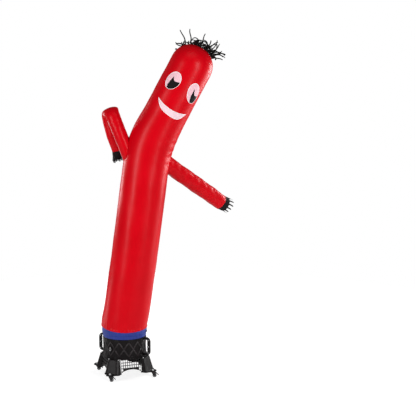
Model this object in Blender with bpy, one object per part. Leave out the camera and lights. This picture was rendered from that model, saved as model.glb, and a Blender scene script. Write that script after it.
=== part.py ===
"""An inflated air dancer standing on its wheeled blower housing.

Metres, +Z up. The drum's axis is the working origin; the last step stands the whole
thing with the middle of its footprint at the origin. Azimuths of the blower are counted
from +X towards +Y. Azimuths on the tube are counted from its face side (-Y) towards +X.
"""

import math
import random

import bmesh
import bpy
import numpy as np
from mathutils import Matrix, Vector
from mathutils.geometry import delaunay_2d_cdt

# Fabric and fits
CLOTH = 0.0015
GAP = 0.0003
SIDES = 28
STEP = 360 / SIDES

# Blower drum
DIAMONDS = 14
FRONT_LEG = -113.8
DRUM_LOW, DRUM_HIGH = 0.207, 0.476
DRUM_INSIDE = 0.2115
FLANGE_RADIUS, FLANGE_HIGH = 0.233, 0.2145
BEAD_RADIUS = 0.2222
LATTICE_LOW, LATTICE_HIGH = 0.234, 0.381
WALL_RADIUS = 0.216
RIB_RAISE = 0.0040
RIB_WIDTH = 0.013
COLLAR_LOW, COLLAR_HIGH, COLLAR_RADIUS = 0.401, 0.451, 0.217
RIM_RADIUS = 0.223

# Handles
HANDLE_LOW, HANDLE_HIGH = 0.2200, 0.4080
HANDLE_OUT, HANDLE_BAR = 0.292, 0.0265
HANDLE_ARM = 0.0215
HANDLE_THICK = 0.024
HANDLE_CORNER = 0.042
GRIP_FINGERS, GRIP_DEPTH = 4, 0.0022

# Legs, side grilles and feet
LEG_TOP = DRUM_LOW - GAP
FOOT_LOW, FOOT_HIGH = 0.060, 0.072
LEG_WALL = 0.004
LEG_CORNER = 0.030
LEG_FLAT = 0.030
#            half width, inner end, front face
LEG_AT_TOP = (0.062, 0.222, 0.262)
LEG_AT_FOOT = (0.080, 0.232, 0.298)
FOOT_LIP = 0.005
FOOT_NOSE = 0.050
GRILLE_TOP = LEG_TOP - 2 * GAP
GRILLE_TOP_OUT, GRILLE_FOOT_OUT = 0.200, 0.221
GRILLE_THICK = 0.004
GRILLE_COLUMNS, GRILLE_ROWS = 9, 3
WINDOW_WIDE, WINDOW_HIGH = 0.0172, 0.0220
WINDOW_PITCH, WINDOW_RISE = 0.0232, 0.0288
WINDOW_TOP = 0.009
ARCH_HIGH, ARCH_DROP = 0.100, 0.0268

# Casters
CASTER_OUT = 0.322
WHEEL_RADIUS, WHEEL_HALF = 0.020, 0.009
TYRE_SHOULDER = 0.0035
TRAIL = 0.016
AXLE_RADIUS, AXLE_BORE = 0.0030, 0.0036
FORK_PLATE_LOW, FORK_PLATE_RADIUS = 0.0545, 0.017
CHEEK_INSIDE, CHEEK_THICK = 0.0098, 0.0026
STEM_RADIUS, STEM_BORE, STEM_HIGH = 0.0050, 0.0054, 0.082
NUT_RADIUS, NUT_HIGH = 0.0090, 0.0790
PEDAL_PIVOT = (0.0300, 0.0460)

# Switch on the drum
SWITCH_AZIMUTH = FRONT_LEG - STEP
SWITCH_MID = 0.3050
SWITCH_WIDE, SWITCH_TALL, SWITCH_DEEP = 0.026, 0.046, 0.011
ROCKER_WIDE, ROCKER_TALL = 0.0140, 0.0190
POCKET_DEEP = 0.0080

# The dancer's tube: a path that stands up, leans, then bends over at the chest
TUBE_LOW = 0.487
HEM_RADIUS = 0.2311
HEM_LENGTH, HEM_FADE = 0.015, 0.105
BEND_FROM, BEND_TO, SHOULDER = 1.62, 2.12, 2.22
HEAD_LEAN = 28.1
TUBE_LENGTH = 2.985
DOME_LENGTH, DOME_FULLNESS = 0.215, 2.2
#             distance  radius
TUBE_RADII = (
    (HEM_LENGTH, HEM_RADIUS),
    (HEM_FADE, 0.2335),
    (BEND_FROM, 0.2320),
    (1.950, 0.2300),
    (BEND_TO, 0.2225),
    (SHOULDER, 0.2170),
    (TUBE_LENGTH - DOME_LENGTH, 0.2145),
)
FACE_RADIUS = 0.2155
#             distance  lean below the bend
TUBE_LEANS = (
    (HEM_LENGTH, 0.0),
    (0.060, 8.0),
    (0.110, 12.0),
    (0.150, 10.5),
    (0.250, 8.5),
    (0.750, 8.1),
    (1.100, 7.6),
    (BEND_FROM, 7.6),
)
SEAM_TURN = 90 - 23.8 - 5 * STEP
SEAM_LAP = 3.0
HEM_TILT, HEM_RISE = 2.3, 0.020

# Belt round the collar
BELT_LOW, BELT_LAP, BELT_CLOTH = 0.4105, 0.041, 0.0020
TOGGLE_OUT = 0.2268

# Face: places are (turn round the tube in degrees, distance below the head's end)
FACE_TURN = 5.2
PATCH_CLOTH = 0.0012
#         name     turn   below  tilt   long    short half axis
EYES = (("left", -32.0, 0.4045, 17.0, 0.0965, 0.0745), ("right", 35.0, 0.4265, -19.0, 0.1050, 0.0700))
# Pupil outlines as fractions of the eye's short and long half axes, from the thorn's tip
PUPIL_NOTCH = {
    "left": ((-0.28, 0.36), (-0.10, 0.20), (0.02, 0.08), (0.28, 0.08), (0.58, 0.17), (0.86, 0.34)),
    "right": ((0.12, 0.45), (0.10, 0.10), (0.22, -0.16), (0.42, -0.28), (0.62, -0.27), (0.84, -0.30)),
}
PUPIL_BACK = {
    "left": ((-0.22, -0.66), (-0.29, -0.25), (-0.31, 0.05)),
    "right": ((-0.42, -0.62), (-0.34, -0.25), (-0.12, 0.12)),
}
PUPIL_ROUND = {"left": (8, -92), "right": (-30, -112)}
PUPIL_EDGE = 0.96
SMILE_TURN, SMILE_HALF, SMILE_SLANT = 0.0, 47.0, 0.0125
SMILE_BELOW, SMILE_DEEP, SMILE_LESS, SMILE_UPPER = 0.6295, 0.112, 0.015, 0.034

# Arms: centre line points with the half width across the picture and the half depth
ARM_SIDES = 14
ARM_COLUMNS = ("x", "y", "z", "wide", "deep")
ARM_RIGHT = (
    (0.3510, -0.018, 2.2390, 0.0825, 0.078),
    (0.4845, 0.080, 2.1270, 0.0820, 0.077),
    (0.6100, 0.172, 2.0240, 0.0820, 0.076),
    (0.7400, 0.268, 1.9200, 0.0820, 0.075),
    (0.8700, 0.362, 1.8130, 0.0805, 0.073),
    (0.9867, 0.450, 1.7160, 0.0775, 0.071),
)
ARM_LEFT = (
    (0.1140, -0.020, 2.1300, 0.0700, 0.080),
    (0.0227, -0.040, 2.3677, 0.0670, 0.078),
    (-0.0340, -0.042, 2.5120, 0.0665, 0.074),
    (-0.0800, -0.032, 2.6300, 0.0690, 0.062),
    (-0.1080, 0.000, 2.6780, 0.0780, 0.046),
    (-0.1215, 0.043, 2.6925, 0.0840, 0.040),
    (-0.1340, 0.088, 2.6690, 0.0790, 0.044),
    (-0.1400, 0.120, 2.6160, 0.0710, 0.056),
    (-0.1080, 0.136, 2.4587, 0.0660, 0.062),
    (-0.0541, 0.160, 2.2966, 0.0650, 0.060),
)
LEFT_ACROSS = Vector((0.94, 0.0, 0.34))
RIGHT_ACROSS = Vector((0.56, 0.0, 0.83))
LEFT_HAND_WAY = Vector((0.06, 0.12, -0.99))
RIGHT_HAND_WAY = Vector((0.75, 0.50, -0.40))
ARM_HOLE = 0.82
CUFF_TUCK, CUFF_LENGTH = 0.012, 0.055
FRINGE_SIDES, FRINGE_BAND, FINGER_STEPS = 24, 0.010, 3
FINGER_LENGTH = {"right": 0.052, "left": 0.060}

# Hair sewn along the head's top seam
HAIR_WIDE, HAIR_CLOTH = 0.010, 0.0016
HAIR_ARC = (9, 132)
HAIR_STRANDS, HAIR_STEPS, HAIR_FILL, HAIR_APART = 40, 4, 0.72, 0.0112
#             strand  length  lean  curl
HAIR_LONG = (
    (0, 0.085, 55, 55),
    (13, 0.158, -2, -16),
    (18, 0.153, -12, 9),
    (26, 0.141, -10, 8),
    (30, 0.151, 8, 20),
    (35, 0.165, 20, 32),
    (38, 0.120, 25, 28),
)

LOOKS = {
    #             red    green  blue   rough  metal
    "red_cloth": (0.640, 0.006, 0.018, 0.42, 0.0),
    "blue_cloth": (0.032, 0.055, 0.230, 0.60, 0.0),
    "white_cloth": (0.900, 0.800, 0.840, 0.65, 0.0),
    "black_cloth": (0.016, 0.014, 0.016, 0.80, 0.0),
    "black_plastic": (0.032, 0.028, 0.030, 0.48, 0.0),
    "grip_plastic": (0.024, 0.022, 0.024, 0.60, 0.0),
    "dark_steel": (0.180, 0.175, 0.180, 0.38, 1.0),
    "tyre_rubber": (0.030, 0.030, 0.032, 0.70, 0.0),
}


# ---------------------------------------------------------------- making meshes


def clear_scene():
    for obj in list(bpy.data.objects):
        bpy.data.objects.remove(obj, do_unlink=True)
    for mesh in list(bpy.data.meshes):
        bpy.data.meshes.remove(mesh)


def finish_of(name, look):
    material = bpy.data.materials.new(f"{name}_{look}")
    material.use_nodes = True
    red, green, blue, rough, metal = LOOKS[look]
    shader = material.node_tree.nodes["Principled BSDF"]
    shader.inputs["Base Color"].default_value = (red, green, blue, 1)
    shader.inputs["Roughness"].default_value = rough
    shader.inputs["Metallic"].default_value = metal
    return material


def mesh_from(points, faces):
    """A closed mesh from loose faces: equal points are made one and the faces turned outwards."""
    work = bmesh.new()
    verts = [work.verts.new(p) for p in points]
    for face in faces:
        if len(set(face)) > 2:
            work.faces.new([verts[i] for i in face])
    bmesh.ops.remove_doubles(work, verts=work.verts, dist=1e-6)
    bmesh.ops.recalc_face_normals(work, faces=work.faces)
    mesh = bpy.data.meshes.new("mesh")
    work.to_mesh(mesh)
    work.free()
    return mesh


def place(name, mesh, look, at=(0, 0, 0), parent=None, smooth_below=35):
    mesh = mesh.copy() if mesh.users else mesh
    mesh.name = name
    obj = bpy.data.objects.new(name, mesh)
    bpy.context.scene.collection.objects.link(obj)
    obj.location = at
    obj.parent = parent
    mesh.materials.clear()
    mesh.materials.append(finish_of(name, look))
    mesh.shade_smooth()
    mesh.set_sharp_from_angle(angle=math.radians(smooth_below))
    return obj


def holder(name, at=(0, 0, 0), turn=0.0, parent=None):
    empty = bpy.data.objects.new(name, None)
    bpy.context.scene.collection.objects.link(empty)
    empty.location = at
    empty.rotation_euler.z = math.radians(turn)
    empty.parent = parent
    return empty


def combined(base, tools, operation):
    """The base mesh with each tool mesh joined to it or cut from it."""
    obj = bpy.data.objects.new("base", base)
    bpy.context.scene.collection.objects.link(obj)
    helpers = [obj]
    for tool in tools:
        cutter = bpy.data.objects.new("tool", tool)
        bpy.context.scene.collection.objects.link(cutter)
        helpers.append(cutter)
        modifier = obj.modifiers.new("join", "BOOLEAN")
        modifier.operation = operation
        modifier.solver = "EXACT"
        modifier.object = cutter
    bpy.context.view_layer.update()
    graph = bpy.context.evaluated_depsgraph_get()
    result = bpy.data.meshes.new_from_object(obj.evaluated_get(graph))
    for helper in helpers:
        bpy.data.objects.remove(helper, do_unlink=True)
    return result


def between_rows(rows, wrap, points, faces):
    """Adds the triangles of a grid of points, all split along the same diagonal."""
    first = len(points)
    across = len(rows[0])
    for row in rows:
        points.extend(row)
    for i in range(len(rows) - 1):
        for j in range(across if wrap else across - 1):
            k = (j + 1) % across
            a, b = first + i * across + j, first + i * across + k
            c, d = b + across, a + across
            faces.append((a, b, c))
            faces.append((a, c, d))


def cloth_mesh(outer, inner, wrap):
    """A sheet between two grids of points, closed along its free edges."""
    points, faces = [], []
    between_rows(outer, wrap, points, faces)
    between_rows(inner, wrap, points, faces)
    for i in (0, -1):
        between_rows([outer[i], inner[i]], wrap, points, faces)
    if not wrap:
        for j in (0, -1):
            between_rows([[r[j] for r in outer], [r[j] for r in inner]], False, points, faces)
    return mesh_from(points, faces)


def closed_mesh(rows):
    """A solid through rings of points, with a flat face at both ends."""
    points, faces = [], []
    between_rows(rows, True, points, faces)
    count = len(rows[0])
    faces.append(tuple(range(count)))
    faces.append(tuple(range(len(points) - count, len(points))))
    return mesh_from(points, faces)


def prism(outline, low, high, to_world=None):
    """A flat outline (a, b) drawn out from low to high: by default a is X, b is Z and the depth Y."""
    to_world = to_world or (lambda a, b, depth: Vector((a, depth, b)))
    return closed_mesh([[to_world(a, b, depth) for a, b in outline] for depth in (low, high)])


def ring(radius, z, sides, middle=(0, 0), turn=0.0):
    angles = (math.radians(turn + 360 * k / sides) for k in range(sides))
    x, y = middle
    return [Vector((x + radius * math.cos(a), y + radius * math.sin(a), z)) for a in angles]


def turned(profile, sides, turn=0.0, middle=(0, 0)):
    """A closed ring turned round Z from a closed profile of (radius, z)."""
    rows = [ring(radius, z, sides, middle, turn) for radius, z in profile]
    points, faces = [], []
    between_rows(rows + [rows[0]], True, points, faces)
    return mesh_from(points, faces)


def rod(radius, low, high, sides, middle=(0, 0), turn=0.0):
    return closed_mesh([ring(radius, z, sides, middle, turn) for z in (low, high)])


def arc(middle, radius, start, end, count):
    angles = [math.radians(start + (end - start) * k / (count - 1)) for k in range(count)]
    return [(middle[0] + radius * math.cos(a), middle[1] + radius * math.sin(a)) for a in angles]


def smooth(t):
    t = min(max(t, 0.0), 1.0)
    return t * t * (3 - 2 * t)


# ---------------------------------------------------------------- the blower


def polar(radius, azimuth, z):
    a = math.radians(azimuth)
    return Vector((radius * math.cos(a), radius * math.sin(a), z))


def drum_mesh():
    """A duct with a flange, two beads, a raised diamond lattice, a collar and a rim.

    Each of the 28 facets holds half a diamond: a rib rises from the tip's edge to the
    crossing's edge and another falls to it. Their corners are shared with the next facet.
    """
    points, faces = [], []
    tall = LATTICE_HIGH - LATTICE_LOW
    facet = 2 * WALL_RADIUS * math.sin(math.radians(STEP / 2))
    slope = math.atan2(tall / 2, facet)
    rib_up = RIB_WIDTH / 2 / math.cos(slope)
    rib_along = RIB_WIDTH / 2 / math.sin(slope) / facet
    notch = 1 - 2 * rib_up / tall

    def add(corners):
        first = len(points)
        points.extend(corners)
        faces.append(tuple(range(first, len(points))))

    def on_facet(tip, crossing, t, z, raised):
        radius = WALL_RADIUS + (RIB_RAISE if raised else 0)
        return polar(radius, tip, LATTICE_LOW + z).lerp(polar(radius, crossing, LATTICE_LOW + z), t)

    def facet_faces(tip, crossing):
        def at(t, z, raised=True):
            return on_facet(tip, crossing, t, z, raised)

        low, mid, high = rib_up, tall / 2, tall - rib_up
        add([at(0, 0), at(rib_along, 0), at(1, mid - rib_up), at(1, mid + rib_up),
             at(rib_along, tall), at(0, tall), at(0, high), at(notch, mid), at(0, low)])
        add([at(0, low, False), at(notch, mid, False), at(0, high, False)])
        add([at(rib_along, 0, False), at(1, 0, False), at(1, mid - rib_up, False)])
        add([at(rib_along, tall, False), at(1, tall, False), at(1, mid + rib_up, False)])
        edges = (((0, low), (notch, mid)), ((notch, mid), (0, high)),
                 ((rib_along, 0), (1, mid - rib_up)), ((rib_along, tall), (1, mid + rib_up)))
        for one, other in edges:
            add([at(*one), at(*other), at(*other, False), at(*one, False)])
        for z in (0, tall):
            add([at(0, z), at(rib_along, z), at(rib_along, z, False), at(1, z, False),
                 polar(BEAD_RADIUS, crossing, LATTICE_LOW + z), polar(BEAD_RADIUS, tip, LATTICE_LOW + z)])

    for k in range(DIAMONDS):
        tip = FRONT_LEG + (2 * k + 1) * STEP
        facet_faces(tip, tip + STEP)
        facet_faces(tip, tip - STEP)
    below = [(BEAD_RADIUS, LATTICE_LOW), (BEAD_RADIUS, FLANGE_HIGH), (FLANGE_RADIUS, FLANGE_HIGH),
             (FLANGE_RADIUS, DRUM_LOW), (DRUM_INSIDE, DRUM_LOW), (DRUM_INSIDE, DRUM_HIGH),
             (RIM_RADIUS, DRUM_HIGH), (RIM_RADIUS, COLLAR_HIGH), (COLLAR_RADIUS, COLLAR_HIGH),
             (COLLAR_RADIUS, COLLAR_LOW), (BEAD_RADIUS, COLLAR_LOW), (BEAD_RADIUS, LATTICE_HIGH)]
    rows = [ring(radius, z, SIDES, turn=FRONT_LEG) for radius, z in below]
    between_rows(rows, True, points, faces)
    return mesh_from(points, faces)


def handle_outline():
    """The handle's side view as (distance from the drum's axis, height)."""
    inside = BEAD_RADIUS + 2 * GAP
    corner = HANDLE_CORNER
    low, high, out = HANDLE_LOW, HANDLE_HIGH, HANDLE_OUT
    outer = [(inside, low)]
    outer += arc((out - corner, low + corner), corner, -90, 0, 6)
    outer += arc((out - corner, high - corner), corner, 0, 90, 6)
    outer += [(inside, high)]
    bar = out - HANDLE_BAR
    small = corner - HANDLE_BAR
    low, high = low + HANDLE_ARM, high - HANDLE_ARM
    inner = [(inside, high)]
    inner += arc((bar - small, high - small), small, 90, 0, 4)
    grip_high, grip_low = high - small - 0.004, low + small + 0.004
    count = GRIP_FINGERS * 4
    for k in range(count + 1):
        wave = (1 - math.cos(2 * math.pi * k / 4)) / 2
        inner.append((bar - GRIP_DEPTH * (1 - wave), grip_high + (grip_low - grip_high) * k / count))
    inner += arc((bar - small, low + small), small, 0, -90, 4)
    inner += [(inside, low)]
    return outer + inner


def make_handle(name, azimuth, parent):
    half = HANDLE_THICK / 2
    frame = holder(f"{name}_seat", turn=azimuth, parent=parent)
    place(name, prism(handle_outline(), -half, half), "grip_plastic", parent=frame)


def leg_plan(half, inner, front, corner, flat, nose):
    """Twelve points of a leg's plan, (out, along), from one inner end round the front to the other."""
    side = [(inner, half), (front - corner, half)]
    side += arc((front - corner, half - corner), corner, 65, 25, 2)
    side += [(front, half - corner), (front + nose, flat)]
    return side + [(out, -along) for out, along in reversed(side)]


def leg_ring(z, half, inner, front, corner=LEG_CORNER, flat=LEG_FLAT, nose=0.0):
    return [Vector((out, along, z)) for out, along in leg_plan(half, inner, front, corner, flat, nose)]


def leg_mesh():
    half, inner, front = LEG_AT_FOOT
    foot = [leg_ring(z, half + FOOT_LIP, inner - FOOT_LIP, front + FOOT_LIP, nose=FOOT_NOSE - FOOT_LIP)
            for z in (FOOT_LOW, FOOT_HIGH)]
    outside = closed_mesh(foot + [leg_ring(FOOT_HIGH, *LEG_AT_FOOT), leg_ring(LEG_TOP, *LEG_AT_TOP)])
    rows = []
    for z, (half, inner, front) in ((FOOT_HIGH - 0.002, LEG_AT_FOOT), (LEG_TOP - LEG_WALL, LEG_AT_TOP)):
        rows.append(leg_ring(z, half - LEG_WALL, inner - 0.03, front - LEG_WALL,
                             LEG_CORNER - LEG_WALL, LEG_FLAT))
    bore = rod(STEM_BORE, FOOT_LOW - 0.01, FOOT_HIGH + 0.01, 12, (CASTER_OUT, 0))
    return combined(outside, [closed_mesh(rows), bore], "DIFFERENCE")


def grille_curve():
    """A side grille's outline and windows as flat closed splines, (along, up the grille from its foot)."""
    tall_z = GRILLE_TOP - FOOT_HIGH
    out = GRILLE_FOOT_OUT - GRILLE_TOP_OUT
    tall = math.hypot(tall_z, out)
    ends = []
    for (half, _, _), far in ((LEG_AT_FOOT, GRILLE_FOOT_OUT), (LEG_AT_TOP, GRILLE_TOP_OUT)):
        ends.append(far - GRILLE_THICK - math.sqrt(2) * (half + 2 * GAP))
    foot_half, top_half = ends
    outline = [(-top_half, tall), (top_half, tall)]
    for k in range(11):
        t = 1 - k / 5
        up = (ARCH_HIGH - ARCH_DROP * abs(t) ** 2.2 - FOOT_HIGH) * tall / tall_z
        half = foot_half + (top_half - foot_half) * up / tall
        outline.append((half * t, up))
    loops = [outline]
    for row in range(GRILLE_ROWS + 1):
        for column in range(GRILLE_COLUMNS):
            if row == GRILLE_ROWS and 0 < column < GRILLE_COLUMNS - 1:
                continue
            x = (column - (GRILLE_COLUMNS - 1) / 2) * WINDOW_PITCH
            high = tall - WINDOW_TOP - row * WINDOW_RISE
            left, right = x - WINDOW_WIDE / 2, x + WINDOW_WIDE / 2
            low = high - WINDOW_HIGH
            loops.append([(left, low), (right, low), (right, high), (left, high)])
    curve = bpy.data.curves.new("grille", "CURVE")
    curve.dimensions = "2D"
    curve.fill_mode = "BOTH"
    curve.extrude = GRILLE_THICK / 2
    for loop in loops:
        spline = curve.splines.new("POLY")
        spline.points.add(len(loop) - 1)
        for point, (x, y) in zip(spline.points, loop):
            point.co = (x, y, 0, 1)
        spline.use_cyclic_u = True
    return curve


def make_grille(name, curve, azimuth, parent):
    """Stands the flat grille up between two legs, leaning out towards its foot."""
    curve = curve.copy()
    curve.materials.append(finish_of(name, "black_plastic"))
    obj = bpy.data.objects.new(name, curve)
    bpy.context.scene.collection.objects.link(obj)
    obj.parent = parent
    lean = math.atan2(GRILLE_FOOT_OUT - GRILLE_TOP_OUT, GRILLE_TOP - FOOT_HIGH)
    foot_out = GRILLE_FOOT_OUT - GRILLE_THICK / 2
    turn = Matrix.Rotation(math.radians(azimuth), 4, "Z")
    stand = Matrix(((0, -math.sin(lean), math.cos(lean), foot_out),
                    (1, 0, 0, 0),
                    (0, math.cos(lean), math.sin(lean), FOOT_HIGH),
                    (0, 0, 0, 1)))
    obj.matrix_local = turn @ stand


def fork_mesh():
    """Swivel plate, two cheeks, the axle between them, and the stem with its nut."""
    plate = rod(FORK_PLATE_RADIUS, FORK_PLATE_LOW, FOOT_LOW - GAP, 16)
    stem = rod(STEM_RADIUS, FORK_PLATE_LOW + 0.002, STEM_HIGH, 12)
    nut = rod(NUT_RADIUS, FOOT_HIGH + GAP, NUT_HIGH, 6)
    pivot_x, pivot_z = PEDAL_PIVOT
    cheek = [(-0.0135, FORK_PLATE_LOW + 0.001), (-0.0120, 0.0450), (0.0070, 0.0180), (0.0125, 0.0125),
             (0.0195, 0.0125), (0.0245, 0.0190), (0.0265, 0.0360), (pivot_x + 0.0045, pivot_z - 0.0040),
             (pivot_x + 0.0045, pivot_z + 0.0030), (0.0240, FORK_PLATE_LOW + 0.001)]
    sides = [prism(cheek, CHEEK_INSIDE, CHEEK_INSIDE + CHEEK_THICK),
             prism(cheek, -CHEEK_INSIDE - CHEEK_THICK, -CHEEK_INSIDE)]
    reach = CHEEK_INSIDE + 0.001
    axle = prism(arc((TRAIL, WHEEL_RADIUS), AXLE_RADIUS, 0, 330, 12), -reach, reach)
    return combined(plate, [stem, nut, *sides, axle], "UNION")


def wheel_mesh():
    """A tyre on its hub, turned round Y. One flat facet stands on the floor."""
    sides = 20
    outer = WHEEL_RADIUS / math.cos(math.pi / sides)
    shoulder = outer - TYRE_SHOULDER
    profile = [(AXLE_BORE, -WHEEL_HALF), (shoulder, -WHEEL_HALF), (outer, -WHEEL_HALF + TYRE_SHOULDER),
               (outer, WHEEL_HALF - TYRE_SHOULDER), (shoulder, WHEEL_HALF), (AXLE_BORE, WHEEL_HALF)]
    mesh = turned(profile, sides, turn=180 / sides)
    mesh.transform(Matrix.Rotation(math.pi / 2, 4, "X"))
    return mesh


def pedal_mesh():
    """A brake pedal, drawn with its pivot at the origin."""
    outline = arc((0, 0), 0.0036, 100, 260, 5)
    outline += [(0.0040, -0.0048), (0.0200, -0.0200), (0.0270, -0.0235),
                (0.0285, -0.0205), (0.0215, -0.0155), (0.0040, 0.0022)]
    half = CHEEK_INSIDE - GAP
    return prism(outline, -half, half)


def make_casters(leg_azimuths, parent):
    fork, wheel, pedal = fork_mesh(), wheel_mesh(), pedal_mesh()
    for name, azimuth in leg_azimuths.items():
        axis = holder(f"swivel_axis_{name}", polar(CASTER_OUT, azimuth, 0), parent=parent)
        place(f"caster_fork_{name}", fork, "dark_steel", parent=axis)
        place(f"caster_wheel_{name}", wheel, "tyre_rubber", (TRAIL, 0, WHEEL_RADIUS), axis)
        pivot_x, pivot_z = PEDAL_PIVOT
        place(f"brake_pedal_{name}", pedal, "dark_steel", (pivot_x, 0, pivot_z), axis)


def make_switch(parent):
    """A rocker in a raised housing on one diamond of the drum."""
    seat = holder("switch_seat", polar(WALL_RADIUS + GAP, SWITCH_AZIMUTH, SWITCH_MID), SWITCH_AZIMUTH, parent)
    wide, tall, deep = SWITCH_WIDE / 2, SWITCH_TALL / 2, SWITCH_DEEP
    edge = 0.004
    outline = [(0, -tall), (deep - edge, -tall), (deep, -tall + edge), (deep, tall - edge),
               (deep - edge, tall), (0, tall)]
    pocket = [(deep - POCKET_DEEP, -0.0104), (deep + 0.01, -0.0104), (deep + 0.01, 0.0104),
              (deep - POCKET_DEEP, 0.0104)]
    pocket_half = ROCKER_WIDE / 2 + GAP
    housing = combined(prism(outline, -wide, wide), [prism(pocket, -pocket_half, pocket_half)], "DIFFERENCE")
    place("switch_housing", housing, "black_plastic", parent=seat)
    tall = ROCKER_TALL / 2
    rocker = [(-0.0030, -0.004), (-0.0010, -tall), (0.0008, -tall), (0.0016, 0.0), (0.0042, tall - 0.0008),
              (0.0022, tall), (-0.0010, tall - 0.0006), (-0.0036, 0.004)]
    half = ROCKER_WIDE / 2
    place("switch_rocker", prism(rocker, -half, half), "grip_plastic", (deep - 0.0028, 0, 0), seat)


def make_blower(parent):
    legs = {name: FRONT_LEG + 90 * k for k, name in enumerate(("front", "right", "back", "left"))}
    place("blower_drum", drum_mesh(), "black_plastic", parent=parent, smooth_below=20)
    make_handle("handle_right", legs["right"], parent)
    make_handle("handle_left", legs["left"], parent)
    leg, grille = leg_mesh(), grille_curve()
    for name, azimuth in legs.items():
        frame = holder(f"leg_seat_{name}", turn=azimuth, parent=parent)
        place(f"leg_{name}", leg, "black_plastic", parent=frame)
        make_grille(f"grille_{name}", grille, azimuth + 45, parent)
    make_casters(legs, parent)
    make_switch(parent)


# ---------------------------------------------------------------- the dancer's tube


def read_table(table, s):
    return float(np.interp(s, [row[0] for row in table], [row[1] for row in table]))


def lean_at(s):
    below = read_table(TUBE_LEANS, s)
    return below + (HEAD_LEAN - below) * smooth((s - BEND_FROM) / (BEND_TO - BEND_FROM))


def walk_axis():
    """Distances along the tube's axis and the points there, in the X-Z plane."""
    step = 0.005
    distances = np.arange(-0.05, TUBE_LENGTH + 0.2, step)
    leans = np.radians([lean_at(s + step / 2) for s in distances])
    x = np.concatenate([[0], np.cumsum(np.sin(leans) * step)[:-1]])
    z = np.concatenate([[0], np.cumsum(np.cos(leans) * step)[:-1]])
    x -= np.interp(0, distances, x)
    z += TUBE_LOW - np.interp(0, distances, z)
    return distances, x, z


AXIS = walk_axis()


def station_at(s):
    """(distance, radius, how a lift splits between along and out) on the tube's straight wall."""
    return s, read_table(TUBE_RADII, s), 0.0, 1.0


def station_dome(angle):
    """The same on the rounded end, by the angle up from its rim."""
    a = math.radians(angle)
    along, out = math.sin(a), max(math.cos(a), 0.0)
    full = 2 / DOME_FULLNESS
    rim = TUBE_LENGTH - DOME_LENGTH
    return rim + DOME_LENGTH * along ** full, read_table(TUBE_RADII, rim) * out ** full, along, out


def on_tube(station, turn, lift):
    """A point over the tube's facets. turn is counted from the middle of the front panel."""
    s, radius, along, out = station
    s += lift * along
    radius += lift * out
    off = (turn - 90) % STEP - STEP / 2
    radius *= math.cos(math.radians(STEP / 2)) / math.cos(math.radians(off))
    distances, xs, zs = AXIS
    middle = Vector((np.interp(s, distances, xs), 0, np.interp(s, distances, zs)))
    lean = math.radians(lean_at(s))
    side = Vector((math.cos(lean), 0, -math.sin(lean)))
    azimuth = math.radians(turn + SEAM_TURN)
    return middle + radius * (math.sin(azimuth) * side + math.cos(azimuth) * Vector((0, -1, 0)))


def tube_stations():
    """Where the tube's rings lie: close together where it bends and at its rounded end."""
    straight = [0.0, HEM_LENGTH, (HEM_LENGTH + HEM_FADE) / 2, HEM_FADE, 0.15, 0.25, 0.7, 1.15]
    bend = [BEND_FROM + (BEND_TO - BEND_FROM) * k / 7 for k in range(8)]
    walls = [station_at(s) for s in straight + bend + [SHOULDER, TUBE_LENGTH - DOME_LENGTH]]
    return walls + [station_dome(angle) for angle in (16, 31, 46, 61, 76, 90)]


def hem_drop(turn, s):
    """How far the tube's lower edge moves: a little low to the right, and drawn up at both sides."""
    side = math.sin(math.radians(turn + SEAM_TURN))
    left = min(1, max(0, (HEM_FADE - s) / (HEM_FADE - HEM_LENGTH)))
    return (HEM_RISE * side ** 2 - HEM_RADIUS * math.tan(math.radians(HEM_TILT)) * side) * left


def tube_row(station, turns, lift):
    row = []
    for turn in turns:
        point = on_tube(station, turn, lift)
        point.z += hem_drop(turn, station[0])
        row.append(point)
    return row


def panel_mesh(first, last, lift):
    """One half of the tube's cloth, between two seam edges, each lapping past its seam."""
    turns = [first - SEAM_LAP] + [first + STEP * k for k in range(SIDES // 2 + 1)] + [last + SEAM_LAP]
    stations = tube_stations()
    outer = [tube_row(station, turns, lift) for station in stations]
    inner = [tube_row(station, turns, lift - CLOTH) for station in stations]
    return cloth_mesh(outer, inner, wrap=False)


def tube_envelope(lift):
    """The tube's whole space round the shoulders, as a solid that trims the arms."""
    turns = [90 + STEP * k for k in range(SIDES)]
    return closed_mesh([tube_row(s, turns, lift) for s in tube_stations() if 1.0 < s[0] < 2.9])


def patch_mesh(outline, lift):
    """A piece of cloth laid on the tube. outline is (turn, distance along), and each facet's
    edge under it becomes an edge of the patch."""
    radius = FACE_RADIUS
    flat = [Vector((math.radians(turn) * radius, s)) for turn, s in outline]
    count = len(flat)
    low, high = min(p.y for p in flat) - 0.01, max(p.y for p in flat) + 0.01
    edges = []
    for k in range(-SIDES // 4, SIDES // 4 + 1):
        x = math.radians(90 + STEP * (k - SIDES // 4)) * radius
        if min(p.x for p in flat) < x < max(p.x for p in flat):
            edges.append((len(flat), len(flat) + 1))
            flat += [Vector((x, low)), Vector((x, high))]
    found = delaunay_2d_cdt(flat, edges, [list(range(count))], 1, 1e-7)
    verts, faces = found[0], found[2]
    points = []
    for over in (PATCH_CLOTH, 0.0):
        for v in verts:
            points.append(on_tube(station_at(v.y), math.degrees(v.x / radius), lift + over))
    size = len(verts)
    sides = {}
    for face in faces:
        for a, b in zip(face, face[1:] + face[:1]):
            sides[(min(a, b), max(a, b))] = sides.get((min(a, b), max(a, b)), 0) + 1
    all_faces = [tuple(f) for f in faces] + [tuple(i + size for i in f) for f in faces]
    all_faces += [(a, b, b + size, a + size) for (a, b), uses in sides.items() if uses == 1]
    used = sorted({i for face in all_faces for i in face})
    index = {old: new for new, old in enumerate(used)}
    return mesh_from([points[i] for i in used], [tuple(index[i] for i in f) for f in all_faces])


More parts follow.
